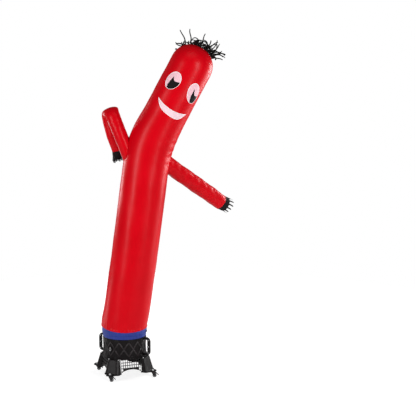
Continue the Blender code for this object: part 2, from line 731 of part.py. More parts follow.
def eye_point(turn, below, tilt, half, short, across, up):
    """A point of an eye as a place on the tube; across and up are fractions of its half axes."""
    a = math.radians(tilt)
    x = across * short * math.cos(a) + up * half * math.sin(a)
    y = up * half * math.cos(a) - across * short * math.sin(a)
    return turn + FACE_TURN + math.degrees(x / FACE_RADIUS), TUBE_LENGTH - below + y


def make_face(parent):
    white_lift = GAP
    pupil_lift = white_lift + PATCH_CLOTH + GAP
    for name, *seat in EYES:
        oval = [(math.cos(a), math.sin(a)) for a in (2 * math.pi * k / 22 for k in range(22))]
        outline = [eye_point(*seat, *p) for p in oval]
        place(f"eye_white_{name}", patch_mesh(outline, white_lift), "white_cloth", parent=parent)
        start, end = PUPIL_ROUND[name]
        around = arc((0, 0), PUPIL_EDGE, start, end, 7)
        pupil = [*PUPIL_NOTCH[name], *around, *PUPIL_BACK[name]]
        outline = [eye_point(*seat, *p) for p in reversed(pupil)]
        place(f"pupil_{name}", patch_mesh(outline, pupil_lift), "black_cloth", parent=parent)
    lower, upper = [], []
    for k in range(15):
        t = -1 + k / 7
        turn = FACE_TURN + SMILE_TURN + SMILE_HALF * t
        tips = TUBE_LENGTH - SMILE_BELOW - SMILE_SLANT * t
        deep = SMILE_DEEP - SMILE_LESS * (1 - t)
        lower.append((turn, tips - deep * (1 - abs(t) ** 3.2)))
        if abs(t) < 0.99:
            upper.append((turn, tips - SMILE_UPPER * (1 - t * t)))
    place("smile", patch_mesh(lower + upper[::-1], white_lift), "white_cloth", parent=parent)


def make_belt(parent):
    """The blue band: snug round the collar, over the rim, and up inside the tube's hem."""
    snug, over_rim = COLLAR_RADIUS + GAP, RIM_RADIUS + 2 * GAP
    in_hem = HEM_RADIUS - 2 * CLOTH - 4 * GAP - BELT_CLOTH
    profile = [(snug, BELT_LOW), (snug, COLLAR_HIGH - 0.010), (over_rim, COLLAR_HIGH - 0.002),
               (in_hem, TUBE_LOW - 0.010), (in_hem, TUBE_LOW + BELT_LAP)]
    rows = {0.0: [], BELT_CLOTH: []}
    turns = [90 + STEP * k for k in range(SIDES)]
    for extra, made in rows.items():
        for radius, z in profile:
            row = []
            for turn in turns:
                azimuth = math.radians(turn + SEAM_TURN - 90)
                row.append(Vector(((radius + extra) * math.cos(azimuth), (radius + extra) * math.sin(azimuth), z)))
            made.append(row)
    place("belt", cloth_mesh(rows[BELT_CLOTH], rows[0.0], wrap=True), "blue_cloth", parent=parent)
    lock = holder("belt_toggle_seat", polar(TOGGLE_OUT, -12, 0.462), -12, parent)
    outline = [(0, -0.010), (0.009, -0.008), (0.011, 0.0), (0.009, 0.008), (0, 0.010)]
    place("belt_toggle", prism(outline, -0.007, 0.007), "black_plastic", parent=lock)


# ---------------------------------------------------------------- arms and hands


def curve_through(rows, count):
    """Catmull-Rom through the rows, count steps a stretch."""
    rows = [np.array(row) for row in rows]
    ends = [2 * rows[0] - rows[1], *rows, 2 * rows[-1] - rows[-2]]
    found = []
    for a, b, c, d in zip(ends, ends[1:], ends[2:], ends[3:]):
        for k in range(count):
            t = k / count
            found.append(0.5 * (2 * b + (c - a) * t + (2 * a - 5 * b + 4 * c - d) * t * t
                                + (3 * b - a - 3 * c + d) * t ** 3))
    return found + [rows[-1]]


def limb_frames(rows, across):
    """(middle, across, deep, half width, half depth, direction) at each row of a limb."""
    frames = []
    for k, row in enumerate(rows):
        before, after = rows[max(k - 1, 0)], rows[min(k + 1, len(rows) - 1)]
        ahead = Vector(after[:3] - before[:3]).normalized()
        side = (across - across.dot(ahead) * ahead).normalized()
        frames.append((Vector(row[:3]), side, ahead.cross(side), row[3], row[4], ahead))
    return frames


def limb_row(frame, sides, less=0.0, scale=1.0):
    middle, side, deep, wide, thick, _ = frame
    row = []
    for k in range(sides):
        a = 2 * math.pi * k / sides
        row.append(middle + side * math.cos(a) * (wide - less) * scale + deep * math.sin(a) * (thick - less) * scale)
    return row


def moved_on(frame, distance, shrink=0.0):
    """The frame carried straight on past the limb's end."""
    middle, side, deep, wide, thick, ahead = frame
    return middle + ahead * distance, side, deep, wide - shrink, thick - shrink, ahead


def make_arm(name, table, across, parent):
    """Returns the arm's last frame and the plug that opens the tube's wall behind it."""
    frames = limb_frames(curve_through(table, 2), across)
    shell = cloth_mesh([limb_row(f, ARM_SIDES) for f in frames],
                       [limb_row(f, ARM_SIDES, CLOTH) for f in frames], wrap=True)
    trimmed = combined(shell, [tube_envelope(GAP)], "DIFFERENCE")
    place(f"arm_{name}", trimmed, "red_cloth", parent=parent)
    plug = closed_mesh([limb_row(f, ARM_SIDES, 0.0, ARM_HOLE) for f in frames[1:6]])
    return frames[-1], plug


def finger(corners, ahead, droop, length):
    """The rings of one hanging strip, from the four corners of its root."""
    rows = []
    middle = sum(corners, Vector()) / 4
    spread = [c - middle for c in corners]
    heading = ahead.copy()
    for k in range(1, FINGER_STEPS + 1):
        heading = (heading + droop * k / FINGER_STEPS).normalized()
        middle = middle + heading * length / FINGER_STEPS
        narrow = 1 - 0.35 * k / FINGER_STEPS
        rows.append([middle + offset * narrow for offset in spread])
    return rows


def fringe_mesh(frame, droop, longest, seed):
    """A narrow band with every second stretch of its end drawn out into a strip."""
    draw = random.Random(seed)
    low, high = moved_on(frame, CUFF_LENGTH + GAP), moved_on(frame, CUFF_LENGTH + GAP + FRINGE_BAND)
    shrink = 0.002 + GAP
    outer = [limb_row(f, FRINGE_SIDES, shrink) for f in (low, high)]
    inner = [limb_row(f, FRINGE_SIDES, shrink + CLOTH) for f in (low, high)]
    points, faces = [], []
    between_rows(outer, True, points, faces)
    between_rows(inner, True, points, faces)
    between_rows([outer[0], inner[0]], True, points, faces)
    for k in range(FRINGE_SIDES):
        n = (k + 1) % FRINGE_SIDES
        corners = [outer[1][k], outer[1][n], inner[1][n], inner[1][k]]
        if k % 2:
            first = len(points)
            points.extend(corners)
            faces.append((first, first + 1, first + 2))
            faces.append((first, first + 2, first + 3))
            continue
        middle = sum(corners, Vector()) / 4
        out = (middle - high[0]).normalized()
        bend = droop + out * draw.uniform(0.00, 0.10)
        length = longest * draw.uniform(0.78, 1.05)
        rows = [corners, *finger(corners, frame[5] + out * 0.05, bend, length)]
        between_rows(rows, True, points, faces)
        last = len(points) - 4
        faces.append((last, last + 1, last + 2))
        faces.append((last, last + 2, last + 3))
    return mesh_from(points, faces)


def make_hand(name, frame, way, droop, seed, parent):
    """A black cuff tucked inside the arm's end, and its fringe of fingers, which point their own way."""
    tucked = frame
    frame = (*frame[:5], way.normalized())
    fit = CLOTH + GAP
    shrink = 0.002
    inside, end = moved_on(tucked, -CUFF_TUCK, fit), moved_on(frame, 0.0, fit)
    wrist, last = moved_on(frame, 0.006, shrink), moved_on(frame, CUFF_LENGTH, shrink)
    frames = [inside, end, wrist, last]
    sleeve = cloth_mesh([limb_row(f, ARM_SIDES) for f in frames],
                        [limb_row(f, ARM_SIDES, CLOTH) for f in frames], wrap=True)
    place(f"hand_cuff_{name}", sleeve, "black_cloth", parent=parent)
    fringe = fringe_mesh(frame, droop, FINGER_LENGTH[name], seed)
    place(f"hand_fringe_{name}", fringe, "black_cloth", parent=parent)


# ---------------------------------------------------------------- hair


def seam_point(angle, lift):
    """A point over the top seam: 0 is the left end of the arc, 180 the right."""
    left = angle < 90
    up = angle if left else 180 - angle
    station = station_dome(max(up, 0)) if up >= 0 else station_at(TUBE_LENGTH - DOME_LENGTH + up * 0.003)
    return on_tube(station, -90 if left else 90, lift)


def hair_strand(corners, out, along, lane, length, lean, curl):
    """Rings of one strand. It sets off along its lean and keeps turning by curl degrees."""
    rows = []
    middle = sum(corners, Vector()) / 4
    spread = [c - middle for c in corners]
    depth = Vector((0, 1, 0)) * lane
    stride = length / HAIR_STEPS
    for k in range(HAIR_STEPS):
        heading = math.radians(lean + curl * (k + 0.5) / HAIR_STEPS)
        way = (out * math.cos(heading) + along * math.sin(heading) + depth).normalized()
        middle = middle + way * stride
        turn = Matrix.Rotation(math.radians(lean + curl * (k + 1) / HAIR_STEPS), 3, "Y")
        narrow = 1 - 0.35 * (k + 1) / HAIR_STEPS
        rows.append([middle + (turn @ offset) * narrow for offset in spread])
    return rows


def stands_apart(rows, others, seam):
    """Whether a strand keeps clear of those before it, and its outer end clear of the seam."""
    line = [sum(row, Vector()) / 4 for row in rows]
    line = [a.lerp(b, t) for a, b in zip(line, line[1:]) for t in (0, 0.33, 0.67)] + [line[-1]]
    for index, other in enumerate(others):
        nearest = min((a - b).length for a in line for b in other)
        if nearest < HAIR_APART:
            return False
    if min((a - b).length for a in line[5:] for b in seam) < HAIR_APART:
        return False
    others.append(line)
    return True


def hair_mesh():
    """A narrow strip sewn over the top seam, with strands drawn out of its upper face."""
    draw = random.Random(7)
    special = {strand: (length, lean, curl) for strand, length, lean, curl in HAIR_LONG}
    start, end = HAIR_ARC
    lift = 2 * GAP + 0.0002
    angles = []
    pitch = (end - start) / HAIR_STRANDS
    for k in range(HAIR_STRANDS):
        angles += [start + pitch * k, start + pitch * (k + HAIR_FILL)]
    angles.append(end)

    def corner(angle, over, side):
        return seam_point(angle, lift + over) + Vector((0, side * HAIR_WIDE / 2, 0))

    sections = [[corner(a, 0, -1), corner(a, 0, 1), corner(a, HAIR_CLOTH, 1), corner(a, HAIR_CLOTH, -1)]
                for a in angles]
    points, faces = [], []

    def quad(a, b, c, d):
        first = len(points)
        points.extend((a, b, c, d))
        faces.append((first, first + 1, first + 2))
        faces.append((first, first + 2, first + 3))

    seam = [seam_point(angle, lift) for angle in range(0, 181, 3)]
    others, drawn = [], {}
    for strand in sorted(range(HAIR_STRANDS), key=lambda s: s not in special):
        one, two = sections[2 * strand], sections[2 * strand + 1]
        top = [one[2], one[3], two[3], two[2]]
        along = (two[2] - one[2]).normalized()
        out = Vector((-along.z, 0, along.x))
        lane = (-0.45, 0.0, 0.45)[strand % 3]
        full = smooth((strand - 7) / 12)
        for attempt in range(80):
            short = 1 - attempt / 100
            length = (draw.uniform(0.016, 0.030) + draw.uniform(0.025, 0.065) * full) * short
            lean, curl = draw.uniform(-14, 14), draw.choice((-1, 1)) * draw.uniform(60, 190) * short
            if strand in special:
                length, lean, curl = special[strand]
            rings = hair_strand(top, out, along, lane, length, lean, curl)
            if stands_apart([top, *rings], others, seam):
                drawn[strand] = [top, *rings]
                break
    for k, (one, two) in enumerate(zip(sections, sections[1:])):
        for i, j in ((0, 1), (1, 2), (3, 0)):
            quad(one[i], one[j], two[j], two[i])
        if k % 2 or k // 2 not in drawn:
            quad(one[2], one[3], two[3], two[2])
            continue
        between_rows(drawn[k // 2], True, points, faces)
        last = len(points) - 4
        faces.append((last, last + 1, last + 2))
        faces.append((last, last + 2, last + 3))
    for section in (sections[0], sections[-1]):
        quad(*section)
    return mesh_from(points, faces)


# ---------------------------------------------------------------- putting it together


def make_dancer(parent):
    right_end, right_plug = make_arm("right", ARM_RIGHT, RIGHT_ACROSS, parent)
    left_end, left_plug = make_arm("left", ARM_LEFT, LEFT_ACROSS, parent)
    under = -(CLOTH + GAP)
    for name, first, last, lift in (("front", -90, 90, 0.0), ("back", 90, 270, under)):
        plugs = [right_plug.copy(), left_plug.copy()]
        panel = combined(panel_mesh(first, last, lift), plugs, "DIFFERENCE")
        place(f"body_{name}", panel, "red_cloth", parent=parent)
    down = Vector((0, 0, -1))
    make_hand("right", right_end, RIGHT_HAND_WAY, down * 0.16, 5, parent)
    make_hand("left", left_end, LEFT_HAND_WAY, down * 0.10, 8, parent)
    make_face(parent)
    make_belt(parent)
    place("hair", hair_mesh(), "black_cloth", parent=parent)


def footprint_middle():
    bpy.context.view_layer.update()
    graph = bpy.context.evaluated_depsgraph_get()
    corners = []
    for obj in bpy.context.scene.objects:
        if obj.type in ("MESH", "CURVE"):
            seen = obj.evaluated_get(graph)
            mesh = seen.to_mesh()
            corners += [seen.matrix_world @ v.co for v in mesh.vertices]
            seen.to_mesh_clear()
    xs, ys = [c.x for c in corners], [c.y for c in corners]
    return Vector(((min(xs) + max(xs)) / 2, (min(ys) + max(ys)) / 2, 0))


def main():
    clear_scene()
    whole = holder("air_dancer")
    make_blower(whole)
    make_dancer(whole)
    whole.location = -footprint_middle()
    bpy.context.view_layer.update()


main()
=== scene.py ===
"""The inflatable air dancer, dressed: cloth, hair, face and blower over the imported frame.

Metres, +Z up. Shapes are made round the blower drum's axis, then shifted to the frame's
origin. Azimuths on the tube are counted from its face side (-Y) towards +X.
"""

import random
from collections import Counter
from math import cos, pi, radians, sin, sqrt, tan, tau

import bmesh
import bpy
import numpy as np
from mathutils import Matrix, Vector
from mathutils.geometry import delaunay_2d_cdt


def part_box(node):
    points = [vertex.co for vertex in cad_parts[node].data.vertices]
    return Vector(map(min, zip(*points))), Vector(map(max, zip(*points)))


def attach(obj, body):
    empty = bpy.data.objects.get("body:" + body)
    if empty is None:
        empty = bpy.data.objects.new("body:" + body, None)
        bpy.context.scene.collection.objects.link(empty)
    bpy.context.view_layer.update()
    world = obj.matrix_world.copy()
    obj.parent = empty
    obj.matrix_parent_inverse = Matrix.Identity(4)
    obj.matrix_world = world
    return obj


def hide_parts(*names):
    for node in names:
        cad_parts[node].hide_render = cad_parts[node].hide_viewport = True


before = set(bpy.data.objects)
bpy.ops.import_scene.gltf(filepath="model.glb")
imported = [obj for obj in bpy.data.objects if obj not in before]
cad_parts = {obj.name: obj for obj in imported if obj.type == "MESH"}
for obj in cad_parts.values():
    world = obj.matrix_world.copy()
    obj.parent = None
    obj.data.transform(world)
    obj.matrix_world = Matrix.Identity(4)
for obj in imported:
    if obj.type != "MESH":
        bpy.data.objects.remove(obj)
SCENE = bpy.context.scene
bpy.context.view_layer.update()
low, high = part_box("blower_drum")
SHIFT = np.array([(low.x + high.x) / 2, (low.y + high.y) / 2, 0.0])

# The tube
STEP = 360 / 28
SEAM_TURN = 90 - 23.8 - 5 * STEP
TUBE_LOW = 0.487
HEM_RADIUS, HEM_LENGTH, HEM_FADE, HEM_TILT, HEM_RISE = 0.2311, 0.015, 0.105, 2.3, 0.020
BEND_FROM, BEND_TO, SHOULDER = 1.62, 2.12, 2.22
HEAD_LEAN = 28.1
TUBE_LENGTH, DOME_LENGTH, DOME_FULLNESS = 2.985, 0.215, 2.2
DOME_ARC = 0.345
RIM = TUBE_LENGTH - DOME_LENGTH
HEAD_RADIUS, MEAN_RADIUS = 0.2145, 0.22
# distance, radius
TUBE_RADII = (
    (HEM_LENGTH, HEM_RADIUS), (HEM_FADE, 0.2335), (BEND_FROM, 0.232), (1.95, 0.23),
    (BEND_TO, 0.2225), (SHOULDER, 0.217), (RIM, HEAD_RADIUS))
FACE_RADIUS = 0.2155
# distance, lean below the bend
TUBE_LEANS = (
    (HEM_LENGTH, 0.0), (0.06, 8.0), (0.11, 12.0), (0.15, 10.5), (0.25, 8.5), (0.75, 8.1),
    (1.10, 7.6), (BEND_FROM, 7.6))
AXIS_STEP = 0.005
CLOTH = 0.0012
SEAM_DEEP, SEAM_WIDE, PUCKER_HIGH, PUCKER_WIDE, PUCKER_PITCH = 0.0035, 0.0045, 0.0009, 0.022, 0.027
HEM_GATHERS, HEM_GATHER_HIGH, CREASE_HIGH, CREASE_PITCH = 37, 0.0045, 0.0016, 0.088

# The belt
BELT_LOW, BELT_THICK, BELT_HEM = 0.4105, 0.0016, 0.0008
BELT_GATHERS = (43, 17)
# radius, height
BELT_PROFILE = (
    (0.2175, BELT_LOW), (0.2176, 0.425), (0.2178, 0.438), (0.2206, 0.4455), (0.2238, 0.45),
    (0.2244, 0.458), (0.2249, 0.47), (0.2249, 0.485), (0.2249, 0.506), (0.2249, 0.5275))

# The face
FACE_TURN = 5.2
#    name     turn   below   tilt   long    short half axis
EYES = (
    ("left", -32.0, 0.4045, 17.0, 0.0965, 0.0745),
    ("right", 35.0, 0.4265, -19.0, 0.1050, 0.0700),
)
# Pupil edges across and up, as shares of the eye's half axes
PUPIL_NOTCH = {
    "left": ((-0.28, 0.36), (-0.10, 0.20), (0.02, 0.08), (0.28, 0.08), (0.58, 0.17), (0.86, 0.34)),
    "right": ((0.12, 0.45), (0.10, 0.1), (0.22, -0.16), (0.42, -0.28), (0.62, -0.27), (0.84, -0.3)),
}
PUPIL_BACK = {
    "left": ((-0.22, -0.66), (-0.29, -0.25), (-0.31, 0.05)),
    "right": ((-0.42, -0.62), (-0.34, -0.25), (-0.12, 0.12)),
}
PUPIL_ROUND = {"left": (8, -92), "right": (-30, -112)}
PUPIL_EDGE = 0.96
SMILE_HALF, SMILE_SLANT = 47.0, 0.0125
SMILE_BELOW, SMILE_DEEP, SMILE_LESS, SMILE_UPPER = 0.6295, 0.112, 0.015, 0.034
PATCH_LIFT, PUPIL_LIFT, PATCH_THICK = 0.0004, 0.0017, 0.0009
PATCH_EDGE, PATCH_PITCH, ROW_APART = 0.004, 0.0065, 0.866
EYE_BORDER, SMILE_BORDER = 0.0055, 0.0050

# Arms: centre line points with the half width across the picture and the half depth
ARM_RIGHT = (
    (0.3510, -0.018, 2.2390, 0.0825, 0.078),
    (0.4845, 0.080, 2.1270, 0.0820, 0.077),
    (0.6100, 0.172, 2.0240, 0.0820, 0.076),
    (0.7400, 0.268, 1.9200, 0.0820, 0.075),
    (0.8700, 0.362, 1.8130, 0.0805, 0.073),
    (0.9867, 0.450, 1.7160, 0.0775, 0.071),
)
ARM_LEFT = (
    (0.1140, -0.020, 2.1300, 0.0700, 0.080),
    (0.0227, -0.040, 2.3677, 0.0670, 0.078),
    (-0.0340, -0.042, 2.5120, 0.0665, 0.074),
    (-0.0800, -0.032, 2.6300, 0.0690, 0.062),
    (-0.1080, 0.000, 2.6780, 0.0780, 0.046),
    (-0.1215, 0.043, 2.6925, 0.0840, 0.040),
    (-0.1340, 0.088, 2.6690, 0.0790, 0.044),
    (-0.1400, 0.120, 2.6160, 0.0710, 0.056),
    (-0.1080, 0.136, 2.4587, 0.0660, 0.062),
    (-0.0541, 0.160, 2.2966, 0.0650, 0.060),
)
ACROSS = {"left": (0.94, 0.0, 0.34), "right": (0.56, 0.0, 0.83)}
HAND_WAY = {"left": (0.06, 0.12, -0.99), "right": (0.75, 0.50, -0.40)}
DROOP = {"left": 0.10, "right": 0.16}
ARM_SIDES, ARM_ROWS, ARM_TUCK, ROOT_GATHER = 72, 150, 0.003, 0.0022
CUFF_TUCK, CUFF_LENGTH, CUFF_THICK, CUFF_FLAT = 0.012, 0.055, 0.0012, 0.067
HAND_SIDES, CUFF_INSIDE, BAND_INSIDE = 96, 0.0034, 0.0023
# A raised seam welt along the left upper arm's edge, its pale pink a painted rim highlight
HIGHLIGHT_WELT_ROWS = slice(1, 66, 2)
HIGHLIGHT_WELT_WIDE, HIGHLIGHT_WELT_THICK, HIGHLIGHT_WELT_LIFT = 0.0052, 0.0032, 0.0010
PLACES, FINGER_THICK, FINGER_STEPS = 24, 0.0014, 12
#          places to the next, length, width, shortest as a share
FINGERS = {"right": (2, 0.052, 0.0165, 0.80), "left": (1, 0.060, 0.0185, 0.60)}

# Hair on the head's top seam, whose arc runs from 0 at its left end to 180 at its right
HAIR_ARC, HAIR_SEED = (9, 132), 31
STRIP_WIDE, STRIP_THICK, STRIP_LIFT = 0.012, 0.0014, 0.0012
STRAND_WIDE, STRAND_THICK = 0.0125, 0.0013
OFF_SEAM, OFF_HEAD = 0.0045, 0.0015
CURLS, FULL_FROM, FULL_OVER = 56, 56, 14
#             place   length  lean  curl
HAIR_LONG = (
    (50.0, 0.158, -2, -16),
    (64.5, 0.153, -12, 9),
    (88.5, 0.141, -10, 8),
    (101.5, 0.151, 8, 20),
    (116.5, 0.165, 20, 32),
    (126.0, 0.120, 25, 28),
)
# Curled strands, drawn zone by zone
#    from   to  strands    length         curl     lean
HAIR_ZONES = (
    (38, 64, 7, (0.045, 0.095), (30, 150), -50),
    (66, 106, 12, (0.110, 0.170), (200, 330), 0),
    (98, 130, 10, (0.100, 0.170), (20, 110), 15),
)

# The blower
WALL_RADIUS, RIB_RAISE, RIB_WIDTH = 0.216, 0.0040, 0.013
LATTICE_LOW, LATTICE_HIGH, DIAMONDS = 0.234, 0.381, 14
LEG_TOP, FOOT_TOP = 0.2067, 0.0723
HANDLE_THICK = 0.024
CASTER_OUT, TRAIL, WHEEL_RADIUS = 0.322, 0.016, 0.020
BOLT_OUT, BOLT_TURNS = 0.2463, (-13.0, 13.0)
# distance out, height
HANDLE_SCREWS = ((0.2749, 0.3803), (0.2788, 0.3140), (0.2749, 0.2477))
BEZEL_SCREWS = (-0.0172, 0.0172)
SUNK = 0.0002
# half width, half height, raise
BEZEL_ROWS = (
    (0.009, 0.0122, 0), (0.0114, 0.0146, 0), (0.0112, 0.0144, 0.0009), (0.0092, 0.0124, 0.0009))
# Turned profiles: radius, height
BOLT_WASHER = ((0.0058, 0), (0.0058, 0.0009), (0.0050, 0.0011))
BOLT_HEAD = ((0.0048, 0.0008), (0.0048, 0.0046), (0.0038, 0.0055))
NUT_WASHER = ((0.0112, 0), (0.0112, 0.0008), (0.0100, 0.0010))
NUT_BODY = ((0.0099, 0.0006), (0.0099, 0.0066), (0.0086, 0.0076))
STEM_END = ((0.0055, 0.0070), (0.0055, 0.0104), (0.0044, 0.0112))
SCREW_HEAD = ((0.0044, 0), (0.0044, 0.0006), (0.0034, 0.0008), (0.0031, 0.0015), (0.0018, 0.0020))
BEZEL_SCREW = ((0.0020, 0), (0.0020, 0.0007), (0.0012, 0.0011))
WHEEL_HUB = (
    (0.005, 0.0086), (0.0136, 0.0086), (0.0134, 0.0093), (0.012, 0.0094),
    (0.0112, 0.0091), (0.0078, 0.0091), (0.007, 0.0094), (0.0052, 0.0093))
FRONT_LEG = -113.8
SWITCH_FACE = (0.2273, FRONT_LEG - STEP, 0.3050)
LEGS = {name: FRONT_LEG + 90 * k for k, name in enumerate(("front", "right", "back", "left"))}

# The camera, round the drum's axis
CAMERA_PLACE, CAMERA_DOWN = (0.855, -12, 3.55), 8.66
FOCAL_PIXELS, PICTURE_PIXELS, SENSOR = 1204, 416, 36
FLOOR_RADIUS, FLOOR_SIDES = 5, 96
WORLD_FILL = 0.08
#    name         azimuth distance height  size       power  height aimed at
LIGHTS = (
    ("strip_left", -47, 6.0, 3.0, (0.9, 4.0), 195, 2.4),
    ("strip_right", 36, 6.0, 3.0, (0.9, 4.0), 225, 2.4),
    ("rim_right", 128, 5.0, 2.2, (2.0, 2.2), 175, 2.4),
    ("rim_low", 112, 4.0, 1.4, (1.2, 1.4), 35, 2.6),
    ("over_head", 10, 1.6, 5.6, (2.4, 1.6), 13, 3.2),
    ("low_left", -105, 2.6, 0.5, (0.6, 0.6), 4, 0.2),
    ("low_right", 98, 2.6, 0.5, (0.6, 0.6), 4, 0.2),
    ("rim_left", -128, 5.0, 2.6, (1.6, 2.4), 90, 1.9),
)


# ---- helpers


BACK_WAY, UP = np.array((0, 1.0, 0)), np.array((0, 0, 1.0))


def unit(v):
    return v / np.linalg.norm(v, axis=-1, keepdims=True)


def circle(count):
    """Evenly spaced angles, once round."""
    return np.linspace(0, tau, count, endpoint=False)


def smooth(t):
    t = np.clip(t, 0.0, 1.0)
    return t * t * (3 - 2 * t)


def bell(x, wide):
    return np.exp(-((x / wide) ** 2))


def waves(seed, low, high, count):
    """A wavy function of two lengths in metres, from wavelengths low to high, about -1 to 1."""
    draw = random.Random(seed)
    terms = []
    for _ in range(count):
        size, way = draw.uniform(low, high), draw.uniform(0, pi)
        terms.append((tau * cos(way) / size, tau * sin(way) / size, draw.uniform(0, tau)))

    def height(u, v):
        return sum(np.sin(a * u + b * v + c) for a, b, c in terms) / sqrt(count)

    return height


def placed(name, data):
    """A new object in the scene."""
    obj = bpy.data.objects.new(name, data)
    SCENE.collection.objects.link(obj)
    return obj


def mesh_object(name, points, faces, material, flat=False):
    """points are in metres round the drum's axis. Faces are turned to face out."""
    mesh = bpy.data.meshes.new(name)
    mesh.from_pydata((points + SHIFT).tolist(), [], [tuple(int(i) for i in f) for f in faces])
    mesh.materials.append(material)
    bm = bmesh.new()
    bm.from_mesh(mesh)
    bmesh.ops.recalc_face_normals(bm, faces=bm.faces)
    bm.to_mesh(mesh)
    bm.free()
    mesh.polygons.foreach_set("use_smooth", [not flat] * len(mesh.polygons))
    return placed(name, mesh)


def grid_faces(rows, columns, wrap, first=0):
    count = columns if wrap else columns - 1
    i, j = np.meshgrid(np.arange(rows - 1), np.arange(count), indexing="ij")
    a = first + i * columns + j
    b = first + i * columns + (j + 1) % columns
    return np.stack([a, b, b + columns, a + columns], -1).reshape(-1, 4)


def band_faces(rows, columns):
    """Faces of a grid that is wrapped both ways."""
    j = np.arange(columns)
    beside, last = (j + 1) % columns, (rows - 1) * columns
    closing = np.stack([last + j, last + beside, beside, j], -1)
    return np.concatenate([grid_faces(rows, columns, True), closing])


def settle(piece, slot, *nodes, body="blower"):
    """Sets a piece on its body and hides the CAD nodes that it stands for. slot is not used."""
    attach(piece, body)
    if nodes:
        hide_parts(*nodes)
    return piece


def cloth_object(name, outer, inner, wrap, material):
    """A sheet of cloth between two grids of points, closed along its free edges."""
    rows, columns = outer.shape[:2]
    size = rows * columns
    faces = [grid_faces(rows, columns, wrap), grid_faces(rows, columns, wrap, size)[:, ::-1]]
    j = np.arange(columns if wrap else columns - 1)
    edges = [(start + j, start + (j + 1) % columns) for start in (0, size - columns)]
    if not wrap:
        i = np.arange(rows - 1) * columns
        edges += [(i + column, i + column + columns) for column in (0, columns - 1)]
    faces += [np.stack([a, b, b + size, a + size], -1) for a, b in edges]
    points = np.concatenate([outer.reshape(-1, 3), inner.reshape(-1, 3)])
    return mesh_object(name, points, np.concatenate(faces), material)


def ribbon(path, wide, thick, across):
    """Points and faces of a closed strip along a path. across is its width's way at each point."""
    path = np.asarray(path)
    ahead = unit(np.gradient(path, axis=0))
    across = unit(across - (across * ahead).sum(1)[:, None] * ahead)
    up = np.cross(ahead, across)
    wide = np.broadcast_to(wide, len(path))[:, None] / 2
    rows = [path + across * a * wide + up * b * thick / 2
            for a, b in ((-1, -1), (1, -1), (1, 1), (-1, 1))]
    points = np.stack(rows, 1).reshape(-1, 3)
    faces = [tuple(f) for f in grid_faces(len(path), 4, True)]
    last = 4 * (len(path) - 1)
    faces += [(3, 2, 1, 0), (last, last + 1, last + 2, last + 3)]
    return points, faces


class Pieces:
    """Collects closed shapes into one object."""

    def __init__(self):
        self.points, self.faces, self.count = [], [], 0

    def add(self, points, faces):
        self.faces += [tuple(int(i) + self.count for i in f) for f in faces]
        self.points.append(points)
        self.count += len(points)

    def make(self, name, material, flat=False):
        return mesh_object(name, np.concatenate(self.points), self.faces, material, flat)


# ---- materials


def feed(tree, node, inputs):
    """Sets a node's inputs. Each is a value, or the socket that it is linked from."""
    for name, value in inputs.items():
        if isinstance(value, bpy.types.NodeSocket):
            tree.links.new(value, node.inputs[name])
        else:
            node.inputs[name].default_value = value


def node_of(tree, kind, inputs, **settings):
    node = tree.nodes.new(kind)
    for name, value in settings.items():
        setattr(node, name, value)
    feed(tree, node, inputs)
    return node


def material_nodes(name):
    old = bpy.data.materials.get(name)
    if old:
        old.name = name + "_cad"
    material = bpy.data.materials.new(name)
    material.use_nodes = True
    tree = material.node_tree
    tree.nodes.clear()
    shader = node_of(tree, "ShaderNodeBsdfPrincipled", {})
    node_of(tree, "ShaderNodeOutputMaterial", {"Surface": shader.outputs["BSDF"]})
    return material, tree, shader, node_of(tree, "ShaderNodeTexCoord", {}).outputs["Object"]


def noise_of(tree, place, scale, detail, rough):
    return node_of(tree, "ShaderNodeTexNoise", {
        "Vector": place, "Scale": scale, "Detail": detail, "Roughness": rough}).outputs["Fac"]


def ramp_of(tree, fac, *stops):
    """A colour ramp through (position, colour) stops."""
    node = node_of(tree, "ShaderNodeValToRGB", {"Fac": fac})
    ramp = node.color_ramp
    for element, (position, color) in zip(ramp.elements, (stops[0], stops[-1])):
        element.position, element.color = position, (*color, 1)
    for position, color in stops[1:-1]:
        ramp.elements.new(position).color = (*color, 1)
    return node.outputs["Color"]


def range_of(tree, fac, low, high):
    return node_of(tree, "ShaderNodeMapRange", {
        "Value": fac, "To Min": low, "To Max": high}).outputs["Result"]


def math_of(tree, kind, a, b):
    return node_of(tree, "ShaderNodeMath", {0: a, 1: b}, operation=kind).outputs["Value"]


def bump_of(tree, *heights):
    """Bumps from (height, strength, distance), laid one over the other."""
    over = {}
    for height, strength, distance in heights:
        bump = node_of(tree, "ShaderNodeBump", {
            "Height": height, "Strength": strength, "Distance": distance, **over})
        over = {"Normal": bump.outputs["Normal"]}
    return over["Normal"]


def weave_of(tree, place, scale):
    """Warp and weft threads, from waves along three axes."""
    waves = [node_of(tree, "ShaderNodeTexWave", {
        "Vector": place, "Scale": scale, "Distortion": 0.6, "Detail": 1.0},
        bands_direction=axis).outputs["Fac"] for axis in "XYZ"]
    total = math_of(tree, "ADD", math_of(tree, "ADD", waves[0], waves[1]), waves[2])
    return math_of(tree, "MULTIPLY", total, 0.333)


THREAD_DEEP, CRINKLE_DEEP = 0.0002, 0.0010


def cloth_material(name, dark, middle, light, rough, sheen=0.0, specular=0.3, weave=260.0,
                   crinkle=0.3):
    material, tree, shader, place = material_nodes(name)
    cloud = noise_of(tree, place, 3.2, 5.0, 0.55)
    worn = noise_of(tree, place, 26.0, 4.0, 0.6)
    fine = noise_of(tree, place, 38.0, 4.0, 0.6)
    feed(tree, shader, {
        "Base Color": ramp_of(tree, cloud, (0.30, dark), (0.52, middle), (0.75, light)),
        "Roughness": range_of(tree, worn, rough - 0.06, rough + 0.08),
        "Normal": bump_of(tree, (weave_of(tree, place, weave), 0.08, THREAD_DEEP),
                          (fine, crinkle, CRINKLE_DEEP)),
        "Sheen Weight": sheen,
        "Sheen Roughness": 0.35,
        "Sheen Tint": (1.0, 0.72, 0.72, 1),
        "Specular IOR Level": specular,
    })
    return material


